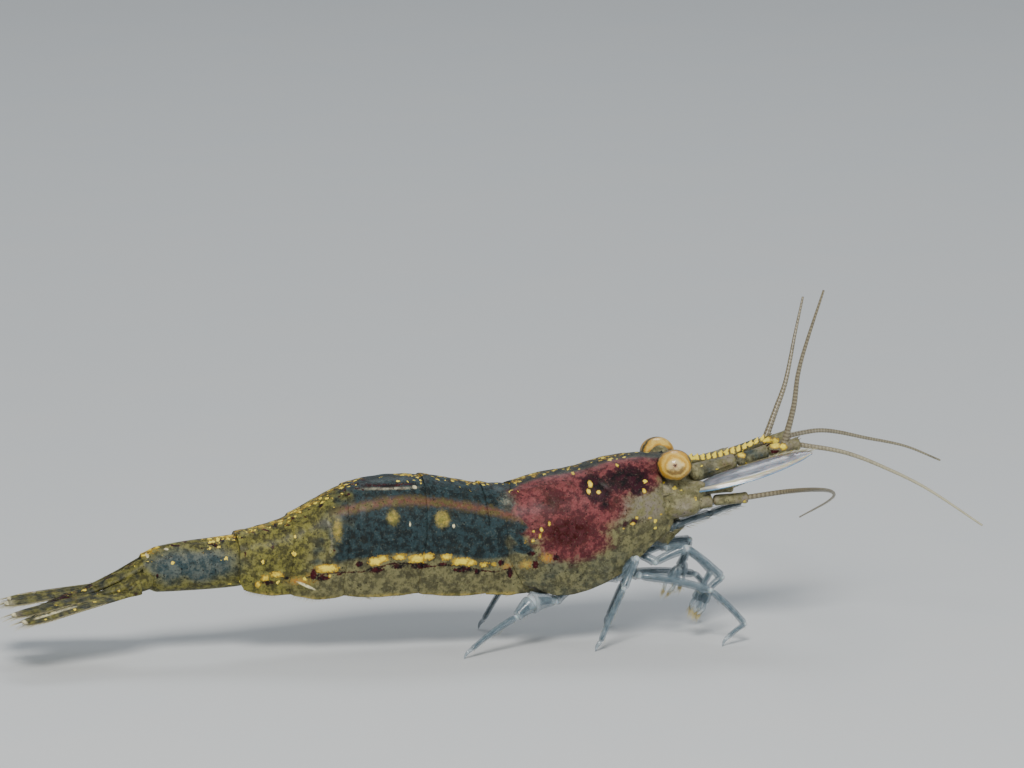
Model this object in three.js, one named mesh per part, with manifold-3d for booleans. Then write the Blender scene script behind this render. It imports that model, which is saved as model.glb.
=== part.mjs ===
// A dwarf freshwater shrimp (family Atyidae), life size, standing on its walking legs with its head raised.
// Millimetres, +Z up. The head points along +X and the animal's left side is +Y.
// Lengths along the body are counted from a line just behind the middle of the animal, heights from the
// ground. Every shell plate, limb, feeler and tail blade is a closed solid of its own, and neighbours keep a
// hair's gap.
import * as THREE from "three";
import { mergeVertices } from "three/addons/utils/BufferGeometryUtils.js";
import Module from "manifold-3d";

const wasm = await Module();
wasm.setup();

const GAP = 0.05; // clearance between neighbouring pieces
const EYE_GAP = 0.09; // and round an eye, whose ball is coarser
const SLIM = 0.26; // half the thickness of the finest feelers, legs and blades
const RIGHT = -1;
const LEFT = 1;
const SIDES = [
  ["right", RIGHT],
  ["left", LEFT],
];

// ---------------------------------------------------------------- colours and finishes
const finish = (color, roughness) =>
  new THREE.MeshStandardMaterial({ color, roughness, metalness: 0 });
const FINISH = {
  carapace: finish(0x6a3a3a, 0.35),
  flesh: finish(0x6b6a52, 0.45),
  abdomen: finish(0x46504c, 0.35),
  fan: finish(0x7a7458, 0.35),
  limb: finish(0xa9b0ae, 0.3),
  feeler: finish(0x8f8264, 0.4),
  scale: finish(0xb9bec4, 0.3),
  eye: finish(0xc7a868, 0.15),
};

const v3 = (x, y, z) => new THREE.Vector3(x, y, z);

// ---------------------------------------------------------------- closed skins
// Turns a triangle list over when it encloses a negative volume, so that its faces point out.
function facingOut(points, triangles) {
  let volume = 0;
  for (const [a, b, c] of triangles)
    volume += points[a].dot(points[b].clone().cross(points[c]));
  return volume < 0 ? triangles.map(([a, b, c]) => [a, c, b]) : triangles;
}

// The triangles of a cap over one ring, which need not be flat.
function capOf(ring) {
  const normal = v3(0, 0, 0);
  ring.forEach((p, i) => normal.add(p.clone().cross(ring[(i + 1) % ring.length])));
  normal.normalize();
  const across = v3(0, 1, 0);
  if (Math.abs(normal.y) > 0.9) across.set(1, 0, 0);
  const u = across.clone().cross(normal).normalize();
  const w = normal.clone().cross(u);
  const flat = ring.map((p) => new THREE.Vector2(p.dot(u), p.dot(w)));
  return THREE.ShapeUtils.triangulateShape(flat, []);
}

// A closed skin over rings of equally many points, capped at both ends.
function skinOver(rings) {
  const count = rings[0].length;
  const points = rings.flat();
  const triangles = [];
  for (let r = 0; r + 1 < rings.length; r++) {
    for (let i = 0; i < count; i++) {
      const a = r * count + i;
      const b = r * count + ((i + 1) % count);
      triangles.push([a, b, b + count], [a, b + count, a + count]);
    }
  }
  const last = (rings.length - 1) * count;
  for (const [a, b, c] of capOf(rings[0])) triangles.push([a, c, b]);
  for (const [a, b, c] of capOf(rings.at(-1))) triangles.push([a + last, b + last, c + last]);
  const geometry = new THREE.BufferGeometry().setFromPoints(points);
  geometry.setIndex(facingOut(points, triangles).flat());
  return geometry;
}

// ---------------------------------------------------------------- cutting and joining
function solidOf(geometry) {
  const bare = geometry.clone();
  bare.deleteAttribute("normal");
  bare.deleteAttribute("uv");
  const merged = mergeVertices(bare, 1e-4);
  return new wasm.Manifold(
    new wasm.Mesh({
      numProp: 3,
      vertProperties: new Float32Array(merged.attributes.position.array),
      triVerts: new Uint32Array(merged.index.array),
    }),
  );
}

// The largest single body of a solid, as a geometry.
function geometryOf(solid) {
  const whole = solid.decompose().sort((a, b) => b.volume() - a.volume())[0];
  const mesh = whole.getMesh();
  const geometry = new THREE.BufferGeometry();
  geometry.setAttribute("position", new THREE.BufferAttribute(new Float32Array(mesh.vertProperties), 3));
  geometry.setIndex(new THREE.BufferAttribute(new Uint32Array(mesh.triVerts), 1));
  return geometry;
}

// geometry with room cut for each of the cutters, which are geometries already grown by GAP.
function cutBy(geometry, cutters) {
  return geometryOf(cutters.reduce((left, cutter) => left.subtract(solidOf(cutter)), solidOf(geometry)));
}

// ---------------------------------------------------------------- round limbs and flat blades
// A ring of points round `at`, reaching `side` one way and `up` the other.
function ringOf(at, side, up, count) {
  return Array.from({ length: count }, (_, i) => {
    const turn = (2 * Math.PI * (i + 0.5)) / count;
    return at
      .clone()
      .addScaledVector(side, Math.cos(turn))
      .addScaledVector(up, Math.sin(turn));
  });
}

function frameAcross(direction) {
  const side = v3(0, 0, 1).cross(direction);
  if (side.length() < 0.2) side.set(0, 1, 0).cross(direction);
  side.normalize();
  return { side, up: direction.clone().cross(side).normalize() };
}

// A jointed limb: [x, y, z, radius] at its root, each joint and its end. Each bend is made by two rings,
// one on either side of the joint. A foot ends in a flat on the ground.
const KNUCKLE = 1.25; // how far from a joint its rings stand, in radii
const SHORT_BONE = 0.35; // but no further than this share of the way to the next joint
function limb(stops, { count = 6, foot = false, grow = 0 } = {}) {
  const at = stops.map(([x, y, z]) => v3(x, y, z));
  const radius = stops.map((stop) => stop[3] + grow);
  const way = at.slice(1).map((p, i) => p.clone().sub(at[i]).normalize());
  const rings = [];
  const addRing = (centre, direction, r) => {
    const { side, up } = frameAcross(direction);
    rings.push(ringOf(centre, side.multiplyScalar(r), up.multiplyScalar(r), count));
  };
  addRing(at[0], way[0], radius[0]);
  for (let i = 1; i + 1 < at.length; i++) {
    const before = Math.min(KNUCKLE * radius[i], SHORT_BONE * at[i].distanceTo(at[i - 1]));
    const after = Math.min(KNUCKLE * radius[i], SHORT_BONE * at[i].distanceTo(at[i + 1]));
    const lean = way[i - 1].clone().add(way[i]).normalize();
    addRing(
      at[i].clone().addScaledVector(way[i - 1], -before),
      way[i - 1].clone().add(lean).normalize(),
      radius[i],
    );
    addRing(
      at[i].clone().addScaledVector(way[i], after),
      way[i].clone().add(lean).normalize(),
      radius[i],
    );
  }
  addRing(at.at(-1), foot ? v3(0, 0, -1) : way.at(-1), radius.at(-1));
  return skinOver(rings);
}

// A smooth feeler: a hexagon of radius SLIM carried along a curve through a few points.
const FEELER_SECTION = new THREE.Shape(
  Array.from({ length: 6 }, (_, i) =>
    new THREE.Vector2(SLIM * Math.cos((i * Math.PI) / 3), SLIM * Math.sin((i * Math.PI) / 3)),
  ),
);
function feeler(points, steps) {
  const extrudePath = new THREE.CatmullRomCurve3(points.map((p) => v3(...p)), false, "centripetal");
  return new THREE.ExtrudeGeometry(FEELER_SECTION, { steps, bevelEnabled: false, extrudePath });
}

// A flat blade: stations of { at: [x, y, z], half: half width, thick: half thickness }.
// `tilt` turns the blade about its length, so that a positive angle lowers its right edge.
function blade(stations, { tilt = 0, count = 8, grow = 0 } = {}) {
  const rings = stations.map(({ at, half, thick }, i) => {
    const next = v3(...stations[Math.min(i + 1, stations.length - 1)].at);
    const previous = v3(...stations[Math.max(i - 1, 0)].at);
    const direction = next.sub(previous).normalize();
    const { side, up } = frameAcross(direction);
    side.applyAxisAngle(direction, tilt);
    up.applyAxisAngle(direction, tilt);
    return ringOf(v3(...at), side.multiplyScalar(half + grow), up.multiplyScalar(thick + grow), count);
  });
  return skinOver(rings);
}

// ---------------------------------------------------------------- the body's form
// Stations along the body, rear to front. back: height of the back. broad and half: height and half of
// the greatest width. hem: height of the lower edge of the side plates. belly: height of the belly
// between them.
const ABDOMEN_FORM = [
  { x: -8.8, back: 4.52, broad: 3.5, half: 0.95, hem: 2.5, belly: 2.95 },
  { x: -6.9, back: 5.0, broad: 3.75, half: 1.2, hem: 2.28, belly: 3.0 },
  { x: -5.7, back: 5.64, broad: 3.95, half: 1.38, hem: 2.16, belly: 3.1 },
  { x: -4.5, back: 6.2, broad: 4.15, half: 1.54, hem: 2.18, belly: 3.2 },
  { x: -3.1, back: 6.46, broad: 4.3, half: 1.64, hem: 2.2, belly: 3.3 },
  { x: -1.6, back: 6.42, broad: 4.35, half: 1.68, hem: 2.15, belly: 3.3 },
  { x: 0.5, back: 6.04, broad: 4.3, half: 1.62, hem: 2.08, belly: 3.2 },
  { x: 2.0, back: 5.86, broad: 4.2, half: 1.52, hem: 2.1, belly: 3.1 },
];
const CARAPACE_FORM = [
  { x: 1.3, back: 5.86, broad: 4.0, half: 1.58, hem: 2.2, belly: 3.1 },
  { x: 2.7, back: 6.26, broad: 4.05, half: 1.8, hem: 1.96, belly: 3.0 },
  { x: 4.0, back: 6.44, broad: 4.2, half: 1.86, hem: 2.1, belly: 3.1 },
  { x: 5.3, back: 6.77, broad: 4.55, half: 1.78, hem: 2.6, belly: 3.45 },
  { x: 6.4, back: 6.88, broad: 5.0, half: 1.52, hem: 3.35, belly: 4.0 },
  { x: 7.5, back: 6.84, broad: 5.4, half: 1.16, hem: 4.3, belly: 4.75 },
];

// The smooth value of one measure between stations: a cubic whose slope at each station is that of the
// chord between its neighbours.
function measure(form, key, x) {
  const last = form.length - 1;
  let i = 0;
  while (i < last - 1 && x > form[i + 1].x) i++;
  const slope = (k) => {
    const a = form[Math.max(k - 1, 0)];
    const b = form[Math.min(k + 1, last)];
    return (b[key] - a[key]) / (b.x - a.x);
  };
  const [a, b] = [form[i], form[i + 1]];
  const span = b.x - a.x;
  const t = THREE.MathUtils.clamp((x - a.x) / span, -0.2, 1.2);
  return (
    a[key] * (2 * t ** 3 - 3 * t ** 2 + 1) +
    b[key] * (3 * t ** 2 - 2 * t ** 3) +
    slope(i) * span * (t ** 3 - 2 * t ** 2 + t) +
    slope(i + 1) * span * (t ** 3 - t ** 2)
  );
}

const ROUND_STEPS = 5; // points from the back down to the greatest width
const PLATE_STEPS = 3; // and from there to the hem
const ROUND_SHARE = 0.45; // how much of the way from the back to the hem lies above the greatest width
const TUCK = 0.14; // how much narrower the body is at the hem, as a share
const PLATE = 0.5; // thickness of the side plates
const FULLNESS = 0.9; // under 1 squares the back's round a little
// Half an outline of the body, from the back down the outside, round the hem and in to the belly's
// middle. Each entry says how far down the outside it is (0 back, 1 hem) and which kind of point it is.
const OUTLINE = [
  ...Array.from({ length: ROUND_STEPS + 1 }, (_, k) => ({ kind: "round", share: k / ROUND_STEPS })),
  ...Array.from({ length: PLATE_STEPS }, (_, k) => ({ kind: "plate", share: (k + 1) / PLATE_STEPS })),
  { kind: "inner hem", share: 1 },
  { kind: "inner belly", share: 1 },
  { kind: "belly", share: 1 },
];
const drop = ({ kind, share }) => {
  if (kind === "round") return ROUND_SHARE * share;
  return kind === "plate" ? ROUND_SHARE + (1 - ROUND_SHARE) * share : 1;
};

// One point of a plated body. lift raises the hem, full scales the outside.
function bodyPoint(form, x, point, { lift = 0, full = 1, grow = 0 }) {
  const broad = measure(form, "broad", x);
  const back = broad + (measure(form, "back", x) - broad) * full + grow;
  const half = measure(form, "half", x) * full + grow;
  const hem = measure(form, "hem", x) + lift - grow;
  const belly = measure(form, "belly", x) - grow;
  const inner = half * (1 - TUCK) - PLATE - 2 * grow;
  const angle = (point.share * Math.PI) / 2;
  if (point.kind === "round")
    return [half * Math.sin(angle) ** FULLNESS, broad + (back - broad) * Math.cos(angle) ** FULLNESS];
  if (point.kind === "plate")
    return [half * (1 - TUCK * point.share ** 2), broad - (broad - hem) * point.share];
  if (point.kind === "inner hem") return [inner, Math.min(hem + 0.1, belly - 0.1)];
  if (point.kind === "inner belly") return [inner * 0.9, belly];
  return [0, belly];
}

// A closed plated piece of the body between two edges, each a function of how far down the side it is.
function plated(form, front, rear, steps, shape) {
  const rings = Array.from({ length: steps + 1 }, (_, step) => {
    const t = step / steps;
    const half = OUTLINE.map((point) => {
      const x = THREE.MathUtils.lerp(front(drop(point)), rear(drop(point)), t);
      const [y, z] = bodyPoint(form, x, point, shape(t));
      return [x, y, z];
    });
    const right = half.map(([x, y, z]) => v3(x, -y, z));
    const left = half.slice(1, -1).reverse().map(([x, y, z]) => v3(x, y, z));
    return [...right, ...left];
  });
  return skinOver(rings);
}

// ---------------------------------------------------------------- head
const EYE = { x: 7.58, y: 1.35, z: 6.62, radius: 0.645, flat: 0.88 };
const HEAD = [
  { at: [6.9, 0, 5.35], half: 0.72, thick: 0.72 },
  { at: [7.5, 0, 5.42], half: 0.85, thick: 0.88 },
  { at: [8.1, 0, 5.56], half: 0.82, thick: 0.8 },
  { at: [8.5, 0, 5.76], half: 0.62, thick: 0.52 },
];
const headGeometry = (grow = 0) => blade(HEAD, { count: 14, grow });

const eyeGeometry = (side, grow = 0) =>
  new THREE.SphereGeometry(EYE.radius + grow, 14, 10)
    .scale(1, 1, EYE.flat)
    .translate(EYE.x, side * EYE.y, EYE.z);

const stalkGeometry = (side, grow = 0) =>
  limb(
    [
      [7.5, side * 0.3, 6.1, 0.36],
      [7.52, side * 0.75, 6.4, 0.4],
      [EYE.x, side * EYE.y, EYE.z, 0.48],
    ],
    { count: 10, grow },
  );

// The rostrum: a narrow keel that runs out between the eyes, saw-toothed along its back.
const ROSTRUM_BACK = [
  [6.2, 6.86],
  [7.4, 6.84],
  [8.4, 6.7],
  [9.2, 6.69],
  [10.2, 6.89],
  [11.0, 7.17],
  [11.6, 7.4],
];
const ROSTRUM_KEEL = [
  [11.2, 7.1],
  [10.3, 6.62],
  [9.2, 6.36],
  [8.1, 6.38],
  [6.4, 6.4],
];
const ROSTRUM_TEETH = 18;
const FIRST_TOOTH = 0.2; // how far along the rostrum's back the teeth start
const TOOTHED = 0.74; // and the share of the back that they take up
const TOOTH_LEAN = 0.7; // where each tooth's tip stands, as a share of the tooth's length
const TOOTH_HEIGHT = 0.1;
const ROSTRUM_THICK = 0.5;
function rostrumGeometry() {
  const back = new THREE.SplineCurve(ROSTRUM_BACK.map(([x, z]) => new THREE.Vector2(x, z)));
  const keel = new THREE.SplineCurve(ROSTRUM_KEEL.map(([x, z]) => new THREE.Vector2(x, z)));
  const outline = new THREE.Shape();
  outline.moveTo(...ROSTRUM_BACK[0]);
  for (let i = 0; i < ROSTRUM_TEETH; i++) {
    const share = FIRST_TOOTH + (TOOTHED * i) / ROSTRUM_TEETH;
    const foot = back.getPointAt(share);
    const tip = back.getPointAt(share + (TOOTHED * TOOTH_LEAN) / ROSTRUM_TEETH);
    outline.lineTo(foot.x, foot.y);
    outline.lineTo(tip.x, tip.y + TOOTH_HEIGHT);
  }
  outline.lineTo(...ROSTRUM_BACK.at(-1));
  for (const p of keel.getSpacedPoints(8)) outline.lineTo(p.x, p.y);
  const options = { depth: ROSTRUM_THICK, bevelEnabled: false, steps: 1 };
  const geometry = new THREE.ExtrudeGeometry(outline, options);
  geometry.rotateX(Math.PI / 2);
  return geometry.translate(0, ROSTRUM_THICK / 2, 0);
}

// ---------------------------------------------------------------- carapace and thorax
const CARAPACE_STEPS = 9;
const carapaceFront = (down) => 7.62 - 0.45 * Math.sin(Math.PI * Math.min(1, 1.4 * down)) - 0.25 * down ** 4;
const carapaceRear = (down) => 1.7 - 0.55 * Math.sin(Math.PI * down) + 0.15 * down;
const carapaceLift = (t) => ({ lift: 0.35 * (1 - Math.sin(Math.PI * Math.min(1, 0.12 + t * 0.95))) ** 3 });

function carapaceBlock(grow = 0) {
  return plated(
    CARAPACE_FORM,
    (down) => carapaceFront(down) + grow,
    (down) => carapaceRear(down) - grow,
    CARAPACE_STEPS,
    (t) => ({ ...carapaceLift(t), grow }),
  );
}

function carapaceGeometry() {
  const cutters = [headGeometry(GAP)];
  for (const [, side] of SIDES) {
    cutters.push(eyeGeometry(side, EYE_GAP), stalkGeometry(side, GAP));
  }
  const whole = solidOf(carapaceBlock()).add(solidOf(rostrumGeometry()));
  return cutBy(geometryOf(whole), cutters);
}

// The thorax fills the trough under the carapace, and carries the legs. width is its share of the room
// between the side plates.
const THORAX = { rear: 2.3, front: 6.95, steps: 5, above_hem: 0.3, width: 0.9 };
function thoraxGeometry(grow = 0) {
  const stations = Array.from({ length: THORAX.steps + 1 }, (_, i) => {
    const x = THREE.MathUtils.lerp(THORAX.rear, THORAX.front, i / THORAX.steps);
    const roof = measure(CARAPACE_FORM, "belly", x) - GAP;
    const floor = measure(CARAPACE_FORM, "hem", x) + THORAX.above_hem;
    const half = (measure(CARAPACE_FORM, "half", x) * (1 - TUCK) - PLATE) * THORAX.width - GAP;
    return { at: [x, 0, (roof + floor) / 2], half, thick: Math.max(roof - floor, 0.5) / 2 };
  });
  return blade(stations, { count: 10, grow });
}

// ---------------------------------------------------------------- abdomen
// Where each of the six rings of the abdomen starts, front to rear, and how far its plate's edges
// swell at the hem: forwards at its front and backwards at its rear.
const RING_EDGES = [1.62, 0.5, -1.7, -4.6, -6.6, -8.6];
const EDGE_SWELL = [0, 0.55, -0.5, -0.35, -0.3, 0];
const HEM_SCALLOP = 0.3; // how much higher a plate's hem is at its corners than in its middle
const RING_FLARE = 0.022; // how much a ring widens to its rear edge, as a share
const RING_STEPS = 5;

// The first ring's front edge follows the hollow of the carapace's rear edge.
const CARAPACE_HOLLOW = 0.5;
function ringEdge(k, down) {
  const hollow = k === 0 ? CARAPACE_HOLLOW * Math.sin(Math.PI * down) : 0;
  return RING_EDGES[k] + EDGE_SWELL[k] * down ** 2 - hollow;
}

function abdomenRing(index) {
  return plated(
    ABDOMEN_FORM,
    (down) => ringEdge(index, down) - GAP / 2,
    (down) => ringEdge(index + 1, down) + GAP / 2,
    RING_STEPS,
    (t) => ({
      lift: HEM_SCALLOP * (1 - Math.sin(Math.PI * t) ** 0.7),
      full: 1 - RING_FLARE * (1 - t),
    }),
  );
}

// The sixth ring is closed below, and narrows to the tail.
const LAST_RING = [
  { at: [-8.6 - GAP / 2, 0, 3.5], half: 0.85, thick: 0.93 },
  { at: [-9.4, 0, 3.44], half: 0.78, thick: 0.92 },
  { at: [-10.6, 0, 3.37], half: 0.7, thick: 0.88 },
  { at: [-11.6, 0, 3.29], half: 0.68, thick: 0.8 },
  { at: [-12.1, 0, 3.24], half: 0.62, thick: 0.7 },
];
const lastRingGeometry = (grow = 0) => blade(LAST_RING, { count: 14, grow });

// ---------------------------------------------------------------- tail fan
const TELSON = [
  { at: [-12.15, 0, 3.4], half: 0.56, thick: 0.42 },
  { at: [-13.0, 0, 3.01], half: 0.52, thick: 0.34 },
  { at: [-14.1, 0, 2.58], half: 0.42, thick: 0.28 },
  { at: [-15.1, 0, 2.27], half: 0.3, thick: SLIM },
  { at: [-15.5, 0, 2.2], half: 0.16, thick: SLIM },
];
const telsonGeometry = (grow = 0) => blade(TELSON, { grow });

// A blade of the fan leaves the last ring level and then droops. The fan is rolled a little, its left
// side up: FAN_ROLL lifts a point by that share of its distance from the midline.
const FAN_ROLL = 0.08;
const FAN_ARCH = 0.03; // how far a blade's middle stands above the straight line from root to tip
function fanBlade(side, { root, tip, half }, grow = 0) {
  const stations = [
    { share: 0, width: 0.6, thick: 0.3 },
    { share: 0.2, width: 0.7, thick: SLIM },
    { share: 0.5, width: 0.92, thick: SLIM },
    { share: 0.8, width: 0.98, thick: SLIM },
    { share: 0.95, width: 0.64, thick: SLIM },
    { share: 1, width: 0.3, thick: SLIM },
  ].map(({ share, width, thick }) => {
    const y = side * THREE.MathUtils.lerp(root[1], tip[1], share);
    const arch = FAN_ARCH * Math.sin(Math.PI * share) + y * FAN_ROLL * share;
    return {
      at: [
        THREE.MathUtils.lerp(root[0], tip[0], share),
        y,
        THREE.MathUtils.lerp(root[2], tip[2], share) + arch,
      ],
      half: half * width,
      thick,
    };
  });
  return blade(stations, { tilt: FAN_ROLL, grow });
}
const INNER_BLADE = { root: [-12.2, 0.5, 2.72], tip: [-17.0, 0.78, 2.07], half: 0.42 };
const OUTER_BLADE = { root: [-12.25, 0.8, 2.66], tip: [-16.75, 1.62, 2.02], half: 0.5 };

// ---------------------------------------------------------------- swimming legs
// Five pairs, folded forwards under the belly between the side plates.
const SWIMMERET_ROOTS = [1.05, -0.45, -1.95, -3.45, -4.95];
function swimmeretGeometry(side, x) {
  const belly = measure(ABDOMEN_FORM, "belly", x);
  return blade(
    [
      { at: [x - 0.3, side * 0.42, belly - 0.46], half: 0.28, thick: SLIM },
      { at: [x, side * 0.44, belly - 0.56], half: 0.32, thick: SLIM },
      { at: [x + 0.7, side * 0.48, belly - 0.84], half: 0.36, thick: SLIM },
      { at: [x + 1.1, side * 0.48, belly - 1.0], half: 0.22, thick: SLIM },
    ],
    { count: 8 },
  );
}

// ---------------------------------------------------------------- feelers
const ANTENNULE = {
  right: [
    [8.45, -0.5, 6.12, 0.27],
    [10.1, -0.54, 6.52, 0.26],
    [11.3, -0.58, 6.84, 0.25],
    [12.45, -0.6, 7.08, 0.25],
  ],
  left: [
    [8.45, 0.5, 6.12, 0.27],
    [10.1, 0.54, 6.55, 0.26],
    [11.3, 0.58, 6.9, 0.25],
    [12.35, 0.6, 7.14, 0.25],
  ],
};
// Each antennule carries two feelers: one held up and one swept forwards.
const RAISED_FEELER = {
  right: [
    [11.95, -0.62, 7.1],
    [12.23, -0.8, 8.5],
    [12.33, -1.0, 9.72],
    [12.55, -1.2, 10.8],
    [13.13, -1.6, 12.95],
  ],
  left: [
    [11.55, 0.62, 7.1],
    [12.05, 1.0, 8.15],
    [12.5, 1.4, 9.05],
    [13.05, 2.1, 10.75],
    [13.5, 2.7, 12.0],
  ],
};
const FORWARD_FEELER = {
  right: [
    [12.52, -0.62, 7.1],
    [14.2, -0.9, 6.72],
    [15.85, -1.3, 6.05],
    [17.2, -1.5, 5.33],
    [19.2, -1.85, 3.95],
  ],
  left: [
    [12.44, 0.62, 7.18],
    [13.83, 1.1, 7.22],
    [15.82, 1.9, 6.7],
    [17.5, 2.6, 6.2],
    [19.0, 3.2, 5.5],
  ],
};
// The second antenna: a stout base with a short stalk, a broad scale above it, and a long whip.
const ANTENNA_BASE = [
  [7.7, 0.82, 5.05, 0.5],
  [8.5, 1.0, 5.12, 0.44],
  [9.1, 1.05, 5.18, 0.27],
  [10.4, 1.12, 5.24, 0.25],
];
const WHIP = {
  right: [
    [10.47, -1.13, 5.25],
    [11.7, -2.1, 5.6],
    [12.2, -4.6, 6.1],
    [11.7, -8.4, 6.7],
    [10.4, -12.4, 7.2],
    [8.4, -16.0, 7.4],
  ],
  left: [
    [10.47, 1.13, 5.25],
    [12.0, 2.3, 5.5],
    [13.2, 5.2, 5.4],
    [13.4, 9.0, 4.9],
    [12.5, 12.9, 4.2],
    [10.9, 16.4, 3.4],
  ],
};
const WHIP_STEPS = 20;
// The scales stand on the antenna bases, tipped outwards, the left one the more.
const ANTENNA_SCALE = [
  { at: [8.75, 1.12, 5.74], half: 0.32, thick: SLIM },
  { at: [9.5, 1.2, 5.96], half: 0.5, thick: SLIM },
  { at: [10.6, 1.28, 6.24], half: 0.56, thick: SLIM },
  { at: [11.7, 1.34, 6.56], half: 0.46, thick: SLIM },
  { at: [12.4, 1.4, 6.77], half: 0.3, thick: SLIM },
  { at: [12.75, 1.42, 6.86], half: 0.16, thick: SLIM },
];
const SCALE_POSE = {
  right: { tilt: 0.38, out: 0, up: 0 },
  left: { tilt: -0.75, out: 0.2, up: 0.06 },
};

// ---------------------------------------------------------------- mouth and legs
const MOUTH = [
  { at: [6.75, 0, 4.2], half: 0.3, thick: 0.34 },
  { at: [7.3, 0, 4.22], half: 0.34, thick: 0.4 },
  { at: [7.9, 0, 4.36], half: 0.26, thick: 0.3 },
];
const MAXILLIPED = [
  [6.7, 0.7, 4.0, 0.28],
  [7.7, 0.72, 4.2, 0.27],
  [9.1, 0.7, 4.62, 0.26],
  [10.3, 0.66, 4.94, 0.25],
];
// Claw-bearing legs, folded under the mouth. Their ends bear small nippers.
const CLAW_LEGS = {
  1: {
    right: [
      [6.75, -0.36, 3.68, 0.26],
      [7.5, -0.4, 3.35, 0.26],
      [8.35, -0.42, 3.3, 0.26],
      [8.0, -0.42, 2.66, 0.25],
    ],
    left: [
      [6.75, 0.36, 3.68, 0.26],
      [7.6, 0.4, 3.4, 0.26],
      [8.6, 0.42, 3.45, 0.26],
      [8.4, 0.42, 2.7, 0.25],
    ],
  },
  2: {
    right: [
      [6.2, -0.66, 3.3, 0.27],
      [6.95, -1.0, 2.95, 0.26],
      [8.1, -1.05, 3.42, 0.27],
      [9.45, -1.08, 2.28, 0.26],
      [8.98, -1.12, 1.92, 0.25],
    ],
    left: [
      [6.2, 0.66, 3.3, 0.27],
      [6.95, 1.0, 2.9, 0.26],
      [8.3, 1.05, 3.3, 0.27],
      [9.6, 1.1, 2.1, 0.26],
      [9.3, 1.15, 1.5, 0.25],
    ],
  },
};
// Each claw: wrist, widest point and tip.
const CLAWS = {
  1: {
    right: [
      [7.96, -0.42, 2.58, 0.25],
      [7.78, -0.42, 2.22, 0.31],
      [7.52, -0.42, 1.72, 0.25],
    ],
    left: [
      [8.37, 0.42, 2.6, 0.25],
      [8.28, 0.42, 2.25, 0.31],
      [8.14, 0.42, 1.74, 0.25],
    ],
  },
  2: {
    right: [
      [8.93, -1.12, 1.84, 0.25],
      [8.73, -1.13, 1.48, 0.31],
      [8.46, -1.15, 1.0, 0.25],
    ],
    left: [
      [9.25, 1.15, 1.41, 0.25],
      [9.13, 1.17, 1.08, 0.31],
      [8.96, 1.2, 0.6, 0.25],
    ],
  },
};
// Walking legs: root, joints and foot. The foot stands flat on the ground.
const WALKING_LEGS = {
  3: {
    right: [
      [5.5, -0.66, 2.75, 0.3],
      [6.3, -1.15, 2.5, 0.28],
      [8.85, -1.75, 1.95, 0.27],
      [10.05, -2.2, 0.72, 0.26],
      [9.35, -2.45, 0.32, 0.25],
      [9.15, -2.55, 0, 0.22],
    ],
    left: [
      [5.5, 0.66, 2.75, 0.3],
      [6.3, 1.1, 2.15, 0.28],
      [9.2, 1.9, 1.85, 0.27],
      [9.66, 2.15, 1.3, 0.26],
      [9.46, 2.42, 0.34, 0.25],
      [9.4, 2.46, 0, 0.22],
    ],
  },
  4: {
    right: [
      [4.75, -0.68, 2.4, 0.3],
      [5.5, -1.25, 2.5, 0.28],
      [6.05, -1.74, 3.25, 0.28],
      [5.52, -1.98, 2.22, 0.28],
      [4.55, -2.32, 0.32, 0.25],
      [4.38, -2.38, 0, 0.22],
    ],
    left: [
      [4.75, 0.68, 2.4, 0.3],
      [5.3, 1.3, 2.2, 0.28],
      [6.75, 1.75, 2.95, 0.28],
      [6.44, 2.0, 1.6, 0.28],
      [5.95, 2.2, 0.34, 0.25],
      [5.85, 2.24, 0, 0.22],
    ],
  },
  5: {
    right: [
      [3.95, -0.66, 2.15, 0.3],
      [3.1, -1.2, 1.72, 0.3],
      [2.15, -1.5, 1.68, 0.4],
      [1.52, -1.75, 1.28, 0.28],
      [-0.35, -2.5, 0.3, 0.25],
      [-0.6, -2.6, 0, 0.22],
    ],
    left: [
      [3.95, 0.66, 2.15, 0.3],
      [3.5, 1.5, 1.8, 0.3],
      [2.85, 2.15, 2.35, 0.32],
      [2.25, 2.3, 2.05, 0.28],
      [1.25, 2.5, 0.34, 0.25],
      [1.1, 2.55, 0, 0.22],
    ],
  },
};

// ---------------------------------------------------------------- assembly
const shrimp = new THREE.Group();

function add(name, geometry, material) {
  const mesh = new THREE.Mesh(geometry, material);
  mesh.name = name;
  shrimp.add(mesh);
}
const mirrored = (stops, side) => stops.map(([x, y, ...rest]) => [x, side * y, ...rest]);

add("carapace", carapaceGeometry(), FINISH.carapace);
add("thorax", cutBy(thoraxGeometry(), [carapaceBlock(GAP), headGeometry(GAP)]), FINISH.flesh);
add("head", headGeometry(), FINISH.flesh);
const mouthRoom = [headGeometry(GAP), carapaceBlock(GAP), thoraxGeometry(GAP)];
add("mouthparts", cutBy(blade(MOUTH, { count: 10 }), mouthRoom), FINISH.flesh);

for (let ring = 0; ring < 5; ring++) add(`abdomen_${ring + 1}`, abdomenRing(ring), FINISH.abdomen);
add("abdomen_6", lastRingGeometry(), FINISH.abdomen);
add("telson", cutBy(telsonGeometry(), [lastRingGeometry(GAP)]), FINISH.fan);

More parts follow.
